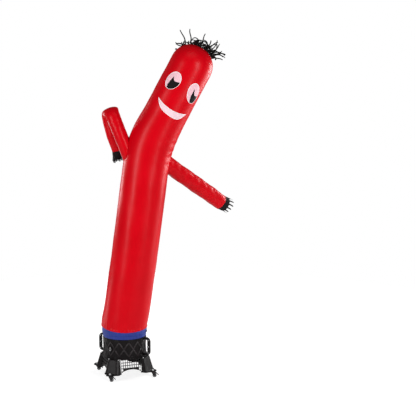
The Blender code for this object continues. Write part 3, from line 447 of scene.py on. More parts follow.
def plastic_material(name, dark, light, rough, grain=160.0, depth=0.00025):
    material, tree, shader, place = material_nodes(name)
    cloud = noise_of(tree, place, 9.0, 5.0, 0.6)
    worn = noise_of(tree, place, 22.0, 5.0, 0.65)
    pebble = noise_of(tree, place, grain, 3.0, 0.5)
    broad = noise_of(tree, place, 14.0, 2.0, 0.5)
    feed(tree, shader, {
        "Base Color": ramp_of(tree, cloud, (0.30, dark), (0.72, light)),
        "Roughness": range_of(tree, worn, rough - 0.07, rough + 0.10),
        "Normal": bump_of(tree, (pebble, 0.25, depth), (broad, 0.15, 0.0008)),
        "Specular IOR Level": 0.14,
    })
    return material


def metal_material(name, dark, light, rough, metallic=1.0):
    material, tree, shader, place = material_nodes(name)
    stretched = node_of(tree, "ShaderNodeMapping", {"Vector": place, "Scale": (1.0, 1.0, 9.0)})
    brushed = noise_of(tree, stretched.outputs["Vector"], 60.0, 4.0, 0.6)
    feed(tree, shader, {
        "Base Color": ramp_of(tree, brushed, (0.35, dark), (0.70, light)),
        "Roughness": range_of(tree, brushed, rough - 0.08, rough + 0.10),
        "Normal": bump_of(tree, (brushed, 0.12, 0.0003)),
        "Metallic": metallic,
    })
    return material


# Colours: dark, middle and light parts of each cloth
RED = cloth_material(
    "red_nylon", (0.6, 0.0, 0.0052), (0.65, 0.0, 0.0062), (0.69, 0.0005, 0.008), 0.32,
    specular=0.12, crinkle=0.03)
BLUE = cloth_material(
    "blue_nylon", (0.016, 0.033, 0.23), (0.021, 0.044, 0.28), (0.032, 0.064, 0.35), 0.44)
WHITE = cloth_material(
    "white_nylon", (0.87, 0.62, 0.69), (0.92, 0.67, 0.74), (0.95, 0.72, 0.78), 0.6, crinkle=0.15)
EYE_WHITE = cloth_material(
    "pinkish_white_nylon", (0.88, 0.52, 0.59), (0.92, 0.57, 0.64), (0.95, 0.62, 0.68), 0.6,
    crinkle=0.15)
BORDER = cloth_material(
    "white_border", (0.93, 0.86, 0.88), (0.95, 0.9, 0.92), (0.97, 0.94, 0.95), 0.55,
    weave=420.0, crinkle=0.4)
# Pale pink for the left sleeve's welt: a painted rim highlight along the sleeve's edge
HIGHLIGHT_WELT = cloth_material(
    "painted_highlight_thread", (0.86, 0.4, 0.41), (0.9, 0.46, 0.47), (0.94, 0.53, 0.54), 0.5,
    weave=420.0, crinkle=0.2)
BLACK = cloth_material(
    "black_nylon", (0.006, 0.005, 0.0055), (0.009, 0.0075, 0.008), (0.015, 0.0125, 0.013), 0.55,
    sheen=0.03, specular=0.08)
HAIR = cloth_material(
    "black_ribbon", (0.0045, 0.004, 0.0042), (0.0065, 0.0058, 0.006), (0.01, 0.009, 0.0095), 0.5,
    specular=0.18)
PLASTIC = plastic_material("moulded_black", (0.005, 0.0038, 0.004), (0.01, 0.008, 0.0085), 0.34)
GRIP = plastic_material(
    "grip_black", (0.005, 0.004, 0.0045), (0.009, 0.0075, 0.008), 0.5, grain=320.0, depth=0.0004)
RUBBER = plastic_material(
    "tyre_black", (0.006, 0.005, 0.0055), (0.013, 0.012, 0.0125), 0.66, grain=420.0)
HUB = plastic_material("hub_grey", (0.3, 0.3, 0.31), (0.42, 0.42, 0.43), 0.42)
# A lighter black than the drum's, for the ribs' crowns: a painted highlight along each rib
RIB_HIGHLIGHT = plastic_material("painted_highlight_black", (0.022, 0.018, 0.019), (0.05, 0.043, 0.045), 0.3)
STEEL = metal_material("black_steel", (0.03, 0.029, 0.03), (0.085, 0.083, 0.085), 0.34)
BRIGHT = metal_material("bright_steel", (0.66, 0.66, 0.67), (0.86, 0.86, 0.87), 0.3, metallic=0.3)


# ---- the tube's shape


def lean_at(s):
    below = np.interp(s, *np.array(TUBE_LEANS).T)
    return below + (HEAD_LEAN - below) * smooth((s - BEND_FROM) / (BEND_TO - BEND_FROM))


def walk_axis():
    """Distances along the tube's middle line, with its x and z there."""
    distances = np.arange(-0.05, TUBE_LENGTH + 0.2, AXIS_STEP)
    leans = np.radians(lean_at(distances + AXIS_STEP / 2))
    x, z = (np.concatenate([[0], np.cumsum(part * AXIS_STEP)[:-1]])
            for part in (np.sin(leans), np.cos(leans)))
    return distances, x - np.interp(0, distances, x), z + TUBE_LOW - np.interp(0, distances, z)


AXIS = walk_axis()


def axis_at(s):
    """The middle line's x and z at a distance along it."""
    return np.interp(s, AXIS[0], AXIS[1]), np.interp(s, AXIS[0], AXIS[2])


def tube_radius(v):
    """The tube's radius, with its corners in the table rounded off."""
    table = np.array(TUBE_RADII).T
    near = [np.interp(v + d, *table) for d in (-0.04, -0.02, 0.0, 0.02, 0.04)]
    eased = sum(near) / 5
    return np.where(v > HEM_FADE + 0.05, eased, np.interp(v, *table))


def tube_at(v, turn, lift):
    """Points over the tube. v is the distance along the cloth, turn is from the front's middle."""
    v, turn, lift = np.broadcast_arrays(np.asarray(v, float), turn, lift)
    a = np.clip((v - RIM) / DOME_ARC, 0, 1) * pi / 2
    along, out = np.sin(a), np.maximum(np.cos(a), 0)
    full = 2 / DOME_FULLNESS
    s = np.where(v < RIM, v, RIM + DOME_LENGTH * along**full) + lift * along
    radius = np.where(v < RIM, tube_radius(v), tube_radius(np.full_like(v, RIM)) * out**full)
    radius = np.maximum(radius * 0.9985 + lift * out, 0.0)
    lean = np.radians(lean_at(s))
    azimuth = np.radians(turn + SEAM_TURN)
    side = np.sin(azimuth)
    across = radius * side
    x, z = axis_at(s)
    x, z = x + across * np.cos(lean), z - across * np.sin(lean)
    left = np.clip((HEM_FADE - s) / (HEM_FADE - HEM_LENGTH), 0, 1)
    z = z + (HEM_RISE * side**2 - HEM_RADIUS * tan(radians(HEM_TILT)) * side) * left
    return np.stack([x, -radius * np.cos(azimuth), z], -1)


BROAD = waves(3, 0.35, 0.9, 7)
FOLDS = waves(4, 0.10, 0.26, 9)


def ripple(v, turn):
    """How far seams, puckers, gathers and creases lift the cloth from the tube's plain shape."""
    a = np.radians(turn)
    around = a * MEAN_RADIUS
    lift = 0.0011 * BROAD(around, v) + 0.0006 * FOLDS(around, v)
    for side in (-90, 90):
        far = np.radians(np.abs((turn - side + 180) % 360 - 180)) * MEAN_RADIUS
        pucker = np.sin(v * tau / PUCKER_PITCH + 2.2 * FOLDS(far, v))
        lift -= SEAM_DEEP * bell(far, SEAM_WIDE) * smooth((v - 0.03) / 0.06)
        lift += PUCKER_HIGH * bell(far, PUCKER_WIDE) * pucker
    hem = np.exp(-np.maximum(v, 0) / 0.045)
    gather = np.sin(a * HEM_GATHERS + 1.6 * np.sin(a * 5) + 9 * v)
    lift += hem * HEM_GATHER_HIGH * (0.5 + 0.5 * gather)
    lift += 0.0016 * smooth((0.021 - v) / 0.004) - 0.0008 * bell(v - 0.0225, 0.0022)
    inside = np.clip(np.sin(np.radians(turn + SEAM_TURN)), 0, 1)
    bend = smooth((v - BEND_FROM - 0.02) / 0.2) * smooth((BEND_TO + 0.1 - v) / 0.22)
    crease = np.sin(v * tau / CREASE_PITCH + 1.5 * FOLDS(around, v))
    return lift + CREASE_HIGH * bend * inside**2 * crease


def tube_skin(v, turn, lift):
    return tube_at(v, turn, ripple(v, turn) + lift)


def body_panel(name, node, first):
    """Half of the tube's cloth, from side seam to side seam, its seam allowances turned in."""
    # Turns from the seam, close together beside it
    fine = [0.0, 0.35, 0.7, 1.05, 1.4, 1.8, 2.3, 3.0, 4.0, 5.2]
    middle = np.linspace(6.6, 173.4, 92)
    turns = np.concatenate([fine, middle, [180 - t for t in fine[::-1]]])
    turns = np.concatenate([[0.22, 0.18], turns + 0.1, [179.82, 179.78]])
    turns[2:-2] = np.clip(turns[2:-2], 0.12, 179.88)
    extra = np.zeros(len(turns))
    extra[:2], extra[-2:] = (-0.012, -0.005), (-0.005, -0.012)
    rows = np.concatenate([np.arange(0, 0.03, 0.003), np.arange(0.03, 0.12, 0.006),
                           np.arange(0.12, RIM, 0.011),
                           np.linspace(RIM, RIM + DOME_ARC * 0.997, 30)])
    v, turn = np.meshgrid(rows, turns + first, indexing="ij")
    outer, inner = (tube_skin(v, turn, extra - less) for less in (0, CLOTH))
    panel = settle(cloth_object(name, outer, inner, False, RED), "red_cloth", node)
    return panel


front = body_panel("tube_front", "body_front", -90)
back = body_panel("tube_back", "body_back", 90)


# ---- the belt


def make_belt():
    turns = np.linspace(0, 360, 300, endpoint=False)
    count = len(BELT_PROFILE)
    radii, heights = (np.interp(np.linspace(0, count - 1, 40), np.arange(count), column)
                      for column in np.array(BELT_PROFILE).T)
    h, turn = np.meshgrid(heights, turns, indexing="ij")
    free = smooth((h - 0.4125) / 0.004) * (0.0008 + 0.0022 * smooth((0.500 - h) / 0.018))
    around = np.radians(turn)
    many, few = BELT_GATHERS
    wobble = (np.sin(around * many + 1.9 * np.sin(around * 6) + 30 * (h - 0.44))
              + 0.7 * np.sin(around * few + 1.4 * np.sin(around * 4) + 55 * (h - 0.44)))
    fold = np.clip(0.5 + 0.34 * wobble, 0, 1)
    hem = BELT_HEM * smooth((0.4185 - h) / 0.002)
    a = np.radians(turn + SEAM_TURN - 90)
    sides = []
    for more in (BELT_THICK + hem, 0.0):
        radius = radii[:, None] + 0.0003 + more + free * fold
        sides.append(np.stack([radius * np.cos(a), radius * np.sin(a), h], -1))
    band = settle(cloth_object("belt_band", *sides, True, BLUE), "blue_cloth", "belt")


make_belt()


# ---- the face


def inside_points(outline, pitch):
    """Points in staggered rows inside an outline, kept off its edge."""
    (left, low), (right, high) = outline.min(0), outline.max(0)
    found = np.array([(x, y) for n, y in enumerate(np.arange(low, high, pitch * ROW_APART))
                      for x in np.arange(left + n % 2 * pitch / 2, right, pitch)])
    a, b = outline, np.roll(outline, -1, axis=0)
    across, up = found[:, None, 0], found[:, None, 1]
    with np.errstate(divide="ignore", invalid="ignore"):
        x = a[:, 0] + (up - a[:, 1]) * (b[:, 0] - a[:, 0]) / (b[:, 1] - a[:, 1])
    crossing = (a[:, 1] > up) != (b[:, 1] > up)
    inside = (crossing & (across < x)).sum(1) % 2 == 1
    edge = b - a
    t = np.clip(((found[:, None] - a) * edge).sum(2) / (edge**2).sum(1), 0, 1)
    far = np.linalg.norm(a + t[..., None] * edge - found[:, None], axis=2).min(1)
    return found[inside & (far > pitch * 0.4)]


def resampled(outline, pitch):
    """The closed outline with its long edges cut to the pitch."""
    found = []
    for a, b in zip(outline, np.roll(outline, -1, axis=0)):
        count = max(1, round(np.linalg.norm(b - a) / pitch))
        found += [a + (b - a) * k / count for k in range(count)]
    return np.array(found)


def area_of(outline):
    """The closed outline's area, below 0 where it runs clockwise."""
    x, y = outline.T
    return (x * np.roll(y, -1) - np.roll(x, -1) * y).sum() / 2


def inset(outline, width):
    """The closed outline moved inwards by width."""
    ahead = unit(np.roll(outline, -1, axis=0) - np.roll(outline, 1, axis=0))
    return outline + np.stack([-ahead[:, 1], ahead[:, 0]], 1) * np.sign(area_of(outline)) * width


def on_face(flat, lift):
    return tube_skin(flat[:, 1], np.degrees(flat[:, 0] / FACE_RADIUS), lift)


def patch(name, outline, lift, material, slot, node, border=0.0):
    """A piece of cloth sewn to the tube, its edge bound. outline is (round, along) in metres."""
    outline = resampled(np.array(outline), PATCH_EDGE)
    grid = inside_points(outline, PATCH_PITCH)
    top = lift + PATCH_THICK
    points = [Vector(p) for p in np.concatenate([outline, grid])]
    found = delaunay_2d_cdt(points, [], [list(range(len(outline)))], 1, 1e-7)
    flat = np.array([tuple(p) for p in found[0]])
    triangles = [tuple(f) for f in found[2]]
    size = len(flat)
    uses = Counter(tuple(sorted(edge)) for f in triangles for edge in zip(f, f[1:] + f[:1]))
    faces = triangles + [tuple(i + size for i in f) for f in triangles]
    faces += [(a, b, b + size, a + size) for (a, b), n in uses.items() if n == 1]
    made = np.concatenate([on_face(flat, top), on_face(flat, lift)])
    cloth = settle(mesh_object(name, made, faces, material), slot, node)
    if border:
        #         in from the edge, height
        rings = ((-0.0006, lift), (-0.0004, top + 0.0009), (border / 2, top + 0.0013),
                 (border, top + 0.0007), (border, top - 0.0002))
        points = np.concatenate([on_face(inset(outline, width), height) for width, height in rings])
        faces = band_faces(len(rings), len(outline))
        settle(mesh_object(name + "_stitching", points, faces, BORDER), slot)


def eye_place(seat, across, up):
    turn, below, tilt, half, short = seat
    a = radians(tilt)
    x = across * short * cos(a) + up * half * sin(a)
    y = up * half * cos(a) - across * short * sin(a)
    return radians(turn + FACE_TURN) * FACE_RADIUS + x, TUBE_LENGTH - below + y


def arc(radius, start, end, count):
    angles = [radians(start + (end - start) * k / (count - 1)) for k in range(count)]
    return [(radius * cos(a), radius * sin(a)) for a in angles]


for name, *seat in EYES:
    oval = [eye_place(seat, *p) for p in arc(1, 0, 352.5, 48)]
    patch(f"eye_patch_{name}", oval, PATCH_LIFT, EYE_WHITE, "white_cloth", f"eye_white_{name}",
          EYE_BORDER)
    pupil = [*PUPIL_NOTCH[name], *arc(PUPIL_EDGE, *PUPIL_ROUND[name], 16), *PUPIL_BACK[name]]
    outline = [eye_place(seat, *p) for p in reversed(pupil)]
    patch(f"pupil_patch_{name}", outline, PUPIL_LIFT, BLACK, "black_cloth", f"pupil_{name}")


def smile_outline():
    lower, upper = [], []
    for k in range(61):
        t = -1 + k / 30
        x = radians(FACE_TURN + SMILE_HALF * t) * FACE_RADIUS
        tips = TUBE_LENGTH - SMILE_BELOW - SMILE_SLANT * t
        deep = SMILE_DEEP - SMILE_LESS * (1 - t)
        lower.append((x, tips - deep * (1 - abs(t) ** 3.2)))
        if abs(t) < 0.995:
            upper.append((x, tips - SMILE_UPPER * (1 - t * t)))
    return lower + upper[::-1]


patch("smile_patch", smile_outline(), PATCH_LIFT, WHITE, "white_cloth", "smile", SMILE_BORDER)


# ---- arms and hands


def curve_through(rows, count):
    """Catmull-Rom through the rows, count steps a stretch."""
    rows = np.array(rows)
    ends = [2 * rows[0] - rows[1], *rows, 2 * rows[-1] - rows[-2]]
    found = []
    for a, b, c, d in zip(ends, ends[1:], ends[2:], ends[3:]):
        for k in range(count):
            t = k / count
            found.append(0.5 * (2 * b + (c - a) * t + (2 * a - 5 * b + 4 * c - d) * t * t
                                + (3 * b - a - 3 * c + d) * t**3))
    return np.array(found + [rows[-1]])


def limb_grid(rows, across):
    """Points round a limb: rows hold the middle, the half width and the half depth."""
    ahead = unit(np.gradient(rows[:, :3], axis=0))
    side = unit(across - (ahead @ across)[:, None] * ahead)
    deep = np.cross(ahead, side)
    a = circle(ARM_SIDES)
    wide = rows[:, 3, None] * np.cos(a)
    thick = rows[:, 4, None] * np.sin(a)
    return rows[:, None, :3] + side[:, None] * wide[..., None] + deep[:, None] * thick[..., None]


def inside_tube(points):
    """How deep points lie inside the tube's plain shape, in metres."""
    axis = np.stack([AXIS[1], np.zeros_like(AXIS[1]), AXIS[2]], -1)
    flat = points.reshape(-1, 3)
    near = np.concatenate([np.linalg.norm(part[:, None] - axis, axis=2).argmin(1)
                           for part in np.array_split(flat, 40)])
    far = np.linalg.norm(flat - axis[near], axis=1)
    return (tube_radius(AXIS[0][near]) - far).reshape(points.shape[:-1])


def interpolated(at, lengths, points):
    """The points of a line at distances along it."""
    return np.stack([np.interp(at, lengths, points[:, c]) for c in range(3)], -1)


def arm_object(name, table, folds):
    """An arm's cloth, from the tube's wall on, wrinkled by folds(share, angle, metres along)."""
    rows = curve_through(table, 40)
    lengths = np.concatenate([[0], np.cumsum(np.linalg.norm(np.diff(rows[:, :3], axis=0), axis=1))])
    shape = limb_grid(rows, np.array(ACROSS[name]))
    under = inside_tube(shape) > ARM_TUCK
    last_under = len(rows) - 1 - under[::-1].argmax(0)
    starts = np.where(under.any(0), lengths[last_under], 0.0)
    at = starts + (lengths[-1] - starts) * np.linspace(0, 1, ARM_ROWS)[:, None]
    angle = np.broadcast_to(circle(ARM_SIDES), at.shape)
    lift = folds(at / lengths[-1], angle, at)
    root = np.exp((starts - at) / 0.02)
    lift += ROOT_GATHER * root * np.sin(angle * 15 + 1.5 * np.sin(angle * 4))
    middle = interpolated(at, lengths, rows)
    out = np.stack([interpolated(at[:, j], lengths, shape[:, j]) for j in range(ARM_SIDES)], 1)
    out = out - middle
    size = np.linalg.norm(out, axis=2, keepdims=True)
    grids = [middle + out * (1 + (lift - less)[..., None] / size) for less in (0.0, CLOTH)]
    arm = settle(cloth_object(f"{name}_sleeve", *grids, True, RED), "red_cloth", f"arm_{name}")
    # A raised strip along the upper arm's edge, in front of the forearm, whose pale pink is a
    # painted rim highlight
    if name == "left":
        path = grids[0][HIGHLIGHT_WELT_ROWS, ARM_SIDES // 2 + 2]
        out = unit(path - interpolated(at[HIGHLIGHT_WELT_ROWS, 0], lengths, rows))
        across = np.cross(out, np.gradient(path, axis=0))
        highlight_welt = ribbon(path + out * HIGHLIGHT_WELT_LIFT, HIGHLIGHT_WELT_WIDE, HIGHLIGHT_WELT_THICK, across)
        settle(mesh_object("left_sleeve_highlight_welt", *highlight_welt, HIGHLIGHT_WELT), "red_cloth")
    return rows[-1], unit(np.gradient(rows[:, :3], axis=0)[-1])


ARM_BROAD = waves(21, 0.16, 0.34, 7)
ARM_FOLDS = waves(22, 0.06, 0.13, 9)
ARM_FINE = waves(23, 0.025, 0.05, 7)


def right_folds(share, angle, at):
    around = angle * 0.08
    long_ways = np.sin(angle * 7 + 2.5 * ARM_BROAD(at, around)) * smooth((share - 0.1) / 0.2)
    end = smooth((share - 0.90) / 0.1)
    return (0.0012 * ARM_BROAD(at, around) + 0.0016 * ARM_FOLDS(at * 0.8, around * 1.6)
            + 0.0007 * long_ways + 0.0004 * ARM_FINE(at, around)
            + 0.0016 * end * np.sin(angle * 19 + 1.2 * np.sin(angle * 3)))


def left_folds(share, angle, at):
    around = angle * 0.07
    fold = bell(share - 0.50, 0.13)
    end = smooth((share - 0.93) / 0.07)
    crease = np.sin(at * tau / 0.045 + 1.4 * ARM_FOLDS(at, around))
    return (0.0010 * ARM_BROAD(at, around) + 0.0006 * ARM_FOLDS(at, around)
            + 0.0002 * ARM_FINE(at, around) + 0.0005 * fold * crease
            + 0.0014 * end * np.sin(angle * 17 + np.sin(angle * 3)))


def fringe_strips(row, way, side, deep, name, seed):
    """A narrow band with strips out of its end, twelve or twice as many."""
    draw = random.Random(seed)
    pieces = Pieces()
    step, usual, width, shortest = FINGERS[name]
    wide, thick = row[3] - BAND_INSIDE, row[4] - BAND_INSIDE
    origin = row[:3]
    angles = circle(HAND_SIDES)

    def rim(distance, less, a):
        return (origin + way * distance + side * (np.cos(a)[..., None] * (wide - less))
                + deep * (np.sin(a)[..., None] * (thick - less)))

    low, high = CUFF_LENGTH - 0.004, CUFF_LENGTH + 0.0103
    rows = [rim(distance, less, angles) for distance, less in (
        (low, 0.0002), (high, 0.0002), (high, 0.0014), (low, 0.0014))]
    pieces.add(np.concatenate(rows), band_faces(4, HAND_SIDES))
    for k in range(0, PLACES, step):
        a = tau * (k + 0.5) / PLACES
        root = rim(high - 0.003, 0.0008, np.array(a))
        out = unit(root - origin - way * (high - 0.003))
        tangent = unit(-side * sin(a) * wide + deep * cos(a) * thick)
        length = usual * draw.uniform(shortest, 1.05)
        bend = (-UP * DROOP[name] + out * draw.uniform(0.0, 0.10)
                + tangent * draw.uniform(-0.06, 0.06))
        heading, path, spin = way + out * 0.05, [root], draw.uniform(-0.5, 0.5)
        for n in range(1, FINGER_STEPS + 1):
            heading = unit(heading + bend * (n / FINGER_STEPS) / 4)
            path.append(path[-1] + heading * (length + 0.003) / FINGER_STEPS)
        t = np.linspace(0, 1, FINGER_STEPS + 1)
        widths = width * (1 - 0.30 * t) * (1 - 0.30 * smooth((t - 0.85) / 0.15))
        turn = (spin * t)[:, None]
        pieces.add(*ribbon(path, widths, FINGER_THICK, tangent * np.cos(turn) + out * np.sin(turn)))
    return pieces.make(f"{name}_fringe", BLACK)


def make_hand(name, row, ahead, seed):
    across = np.array(ACROSS[name])
    way = unit(np.array(HAND_WAY[name]))
    side = unit(across - (way @ across) * way)
    deep = np.cross(way, side)
    tuck_side = unit(across - (ahead @ across) * ahead)
    a = circle(HAND_SIDES)
    stations = np.concatenate([np.linspace(-CUFF_TUCK, 0, 3, endpoint=False),
                               np.linspace(0, CUFF_LENGTH, 16)])
    outer, inner = [], []
    for d in stations:
        if d < 0:
            middle, flat, thick = row[:3] + ahead * d, tuck_side, np.cross(ahead, tuck_side)
        else:
            middle, flat, thick = row[:3] + way * d, side, deep
        inside = CUFF_INSIDE - 0.0014 * smooth(d / 0.008)
        pucker = 0.0010 * np.sin(a * 23 + 1.3 * np.sin(a * 4) + 12 * d) * smooth((d + 0.002) / 0.01)
        ridge = 0.0007 * bell(d - 0.050, 0.004) + 0.0006 * bell(d - 0.008, 0.003)
        for made, less in ((outer, 0.0), (inner, CUFF_THICK)):
            grow = pucker + ridge - inside - less
            made.append(middle + flat * (np.cos(a) * (row[3] + grow))[:, None]
                        + thick * (np.sin(a) * (row[4] + grow))[:, None])
    cuff = cloth_object(f"{name}_cuff", np.array(outer), np.array(inner), True, BLACK)
    settle(cuff, "black_cloth", f"hand_cuff_{name}")
    strips = fringe_strips(row, way, side, deep, name, seed)
    fringe = settle(strips, "black_cloth", f"hand_fringe_{name}")


for name, table, folds, seed in (
        ("right", ARM_RIGHT, right_folds, 5), ("left", ARM_LEFT, left_folds, 8)):
    make_hand(name, *arm_object(name, table, folds), seed)


# ---- hair


def seam_frame(angle):
    """A point on the top seam's arc, the way out of the cloth there and the way along it."""
    def at(value, lift):
        up = min(max(value, 0), 180)
        return tube_at(RIM + DOME_ARC * min(up, 180 - up) / 90, -90 if up < 90 else 90, lift)
    here = at(angle, 0.0)
    out = unit(at(angle, 0.02) - here)
    along = unit(at(angle + 0.5, 0.0) - at(angle - 0.5, 0.0))
    return here, out, along


def strand_path(angle, length, lean, curl, lane, wave, steps, offset=0.0):
    here, out, along = seam_frame(angle)
    point = here + out * STRIP_LIFT + BACK_WAY * offset
    path = [point]
    for k in range(steps):
        t = (k + 0.5) / steps
        heading = radians(lean + curl * t + wave * sin(pi * 2.4 * t))
        side = lane * (0.4 + 0.9 * t)
        way = unit(out * cos(heading) + along * sin(heading) + BACK_WAY * side)
        point = point + way * length / steps
        path.append(point)
    return np.array(path)


def hair_strand(pieces, path, wide, start, spin):
    """A flat ribbon along a path. At start 0 it faces along the seam, at 1.57 the camera's side."""
    t = np.linspace(0, 1, len(path))[:, None]
    level = unit(np.cross(unit(np.gradient(path, axis=0)), BACK_WAY))
    across = BACK_WAY * np.cos(start + spin * t) + level * np.sin(start + spin * t)
    pieces.add(*ribbon(path, wide * (1 - 0.30 * t[:, 0] ** 2), STRAND_THICK, across))


def clear_of_head(path):
    """The path up to where it would run into the head."""
    inside = (k for k in range(3, len(path)) if inside_dome(path[k]) > -OFF_HEAD)
    return path[:next(inside, None)]


def make_hair():
    draw = random.Random(HAIR_SEED)
    strands = Pieces()

    def about(most):
        return draw.uniform(-most, most)

    def either_way(low, high):
        return draw.choice((-1, 1)) * draw.uniform(low, high)

    strip = [here + out * STRIP_LIFT
             for here, out, _ in map(seam_frame, np.linspace(*HAIR_ARC, 90))]
    strands.add(*ribbon(strip, STRIP_WIDE, STRIP_THICK, np.tile(BACK_WAY, (len(strip), 1))))
    for place, length, lean, curl in HAIR_LONG:
        path = strand_path(place, length, lean, curl, about(0.12), draw.uniform(8, 14), 24)
        hair_strand(strands, path, STRAND_WIDE, 1.1, 0.9)
    for start, end, count, lengths, curls, rest in HAIR_ZONES:
        for n in range(count):
            place = start + (end - start) * (n + draw.uniform(0.2, 0.8)) / count
            curl = either_way(*curls)
            lean = rest - 0.3 * curl + about(12)
            lane = either_way(0.10, 0.45)
            path = strand_path(place, draw.uniform(*lengths), lean, curl, lane, about(10), 40,
                               about(OFF_SEAM))
            hair_strand(strands, clear_of_head(path), draw.uniform(0.0105, 0.0145),
                        draw.uniform(1.1, 1.6), about(0.7))
    for n in range(CURLS):
        share = (n + about(0.3)) / CURLS
        place = HAIR_ARC[0] + (HAIR_ARC[1] - HAIR_ARC[0]) * min(max(share, 0), 1) ** 0.62
        full = float(smooth((place - FULL_FROM) / FULL_OVER))
        if draw.random() > 0.12 + 0.88 * full:
            continue
        length = draw.uniform(0.022, 0.040) + draw.uniform(0.010, 0.060) * full
        curl = either_way(80, 300)
        lean = -curl * draw.uniform(0.15, 0.45) + about(20)
        lane = either_way(0.15, 0.9)
        path = clear_of_head(
            strand_path(place, length, lean, curl, lane, about(20), 20, about(OFF_SEAM)))
        if len(path) > 4:
            hair_strand(strands, path, draw.uniform(0.009, 0.014), draw.uniform(0.6, 2.4),
                        about(1.2))
    settle(strands.make("hair_ribbons", HAIR), "black_cloth", "hair")


def inside_dome(point):
    """How deep a point lies inside the head's rounded end, in metres."""
    lean = radians(HEAD_LEAN)
    x, z = axis_at(RIM)
    base = np.array((x, 0, z))
    axis = np.array((sin(lean), 0, cos(lean)))
    along = (point - base) @ axis
    off = np.linalg.norm(point - base - axis * along)
    if along < 0:
        return HEAD_RADIUS - off
    n = DOME_FULLNESS
    size = ((along / DOME_LENGTH) ** n + (off / HEAD_RADIUS) ** n) ** (1 / n)
    return (1 - size) * HEAD_RADIUS


make_hair()


# ---- the blower


def dressed(node, material, bevel):
    """A CAD node with a finished material and its hard edges eased."""
    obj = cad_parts[node]
    obj.data.materials.clear()
    obj.data.materials.append(material)
    if bevel:
        weld = obj.modifiers.new("weld", "WELD")
        weld.merge_threshold = 0.00001
        ease = obj.modifiers.new("ease", "BEVEL")
        ease.width = bevel
        ease.segments = 2
        ease.limit_method = "ANGLE"
        ease.angle_limit = radians(32)


def polar(radius, azimuth, z):
    a = radians(azimuth)
    return np.array((radius * cos(a), radius * sin(a), z))


def turned(pieces, base, axis, profile, sides, closed=False, spin=0.0):
    """A turned shape standing on base along axis. profile is (radius, height)."""
    axis = unit(axis)
    side = unit(np.cross(axis, (0.31, 0.17, 0.93) if abs(axis[2]) < 0.5 else (1, 0, 0)))
    deep = np.cross(axis, side)
    a = circle(sides) + spin
    ring = np.cos(a)[:, None] * side + np.sin(a)[:, None] * deep
    rows = [base + axis * h + ring * r for r, h in profile]
    last = (len(rows) - 1) * sides
    faces = band_faces(len(rows), sides) if closed else [
        *grid_faces(len(rows), sides, True), range(sides)[::-1], range(last, last + sides)]
    pieces.add(np.concatenate(rows), faces)


def rib_crowns():
    """A rounded crown along every rib of the drum's lattice, in a lighter black that paints the
    highlight along the ribs.
    """
    ribs = Pieces()
    middle = (LATTICE_LOW + LATTICE_HIGH) / 2
    arch = np.linspace(0, pi, 9)
    faces = [(j, j + 1, j + 10, j + 9) for j in range(8)]
    faces += [(8, 0, 9, 17), tuple(range(9))[::-1], tuple(range(9, 18))]
    for k in range(DIAMONDS):
        tip = FRONT_LEG + (2 * k + 1) * STEP
        for crossing in (tip - STEP, tip + STEP):
            for end in (LATTICE_LOW, LATTICE_HIGH):
                start = polar(WALL_RADIUS + RIB_RAISE, tip, end)
                stop = polar(WALL_RADIUS + RIB_RAISE, crossing, middle)
                out = polar(1.0, (tip + crossing) / 2, 0)
                ahead = unit(stop - start)
                across = np.cross(out, ahead)
                rows = [p + across * (np.cos(arch) * (RIB_WIDTH / 2 + 0.0001))[:, None]
                        + out * (0.0026 * np.sin(arch) - 0.0010)[:, None]
                        for p in (start - ahead * 0.001, stop + ahead * 0.001)]
                ribs.add(np.concatenate(rows), faces)
    settle(ribs.make("rib_crowns", RIB_HIGHLIGHT), "black_plastic")


def small_metal():
    """Flange bolts, foot nuts, handle screws, wheel hubs and the switch's frame."""
    bolts, screws = Pieces(), Pieces()
    for name, azimuth in LEGS.items():
        for turn in BOLT_TURNS:
            base = polar(BOLT_OUT, azimuth + turn, LEG_TOP)
            turned(bolts, base, UP, BOLT_WASHER, 20)
            turned(bolts, base, UP, BOLT_HEAD, 6, spin=azimuth + turn)
        nut = Pieces()
        base = polar(CASTER_OUT, azimuth, FOOT_TOP)
        turned(nut, base, UP, NUT_WASHER, 24)
        turned(nut, base, UP, NUT_BODY, 6, spin=0.3)
        turned(nut, base, UP, STEM_END, 16)
        nut = nut.make(f"foot_nut_{name}", BRIGHT, flat=True)
        settle(nut, "dark_steel", body=f"swivel_{name}")
        hub = Pieces()
        centre = polar(CASTER_OUT, azimuth, WHEEL_RADIUS) + (TRAIL, 0, 0)
        for way in (-BACK_WAY, BACK_WAY):
            turned(hub, centre, way, WHEEL_HUB, 32, closed=True)
        settle(hub.make(f"wheel_hub_{name}", HUB), "tyre_rubber", body=f"wheel_{name}")
    for side in ("right", "left"):
        azimuth = LEGS[side]
        along = polar(1.0, azimuth + 90, 0)
        for out, z in HANDLE_SCREWS:
            for way in (-along, along):
                base = polar(out, azimuth, z) + way * (HANDLE_THICK / 2 - SUNK)
                turned(screws, base, way, SCREW_HEAD, 16)
    radius, azimuth, z = SWITCH_FACE
    face = polar(radius - SUNK, azimuth, z)
    across, out = polar(1.0, azimuth + 90, 0), polar(1.0, azimuth, 0)
    a = circle(40)
    oval = [np.sign(part) * np.abs(part) ** 0.5 for part in (np.cos(a), np.sin(a))]
    rows = [face + across * (oval[0] * wide)[:, None] + UP * (oval[1] * tall)[:, None] + out * rise
            for wide, tall, rise in BEZEL_ROWS]
    screws.add(np.concatenate(rows), band_faces(len(rows), len(a)))
    for up in BEZEL_SCREWS:
        turned(screws, face + UP * up, out, BEZEL_SCREW, 14)
    settle(bolts.make("flange_bolts", BRIGHT, flat=True), "dark_steel")
    settle(screws.make("screws_and_bezel", BRIGHT, flat=True), "dark_steel")


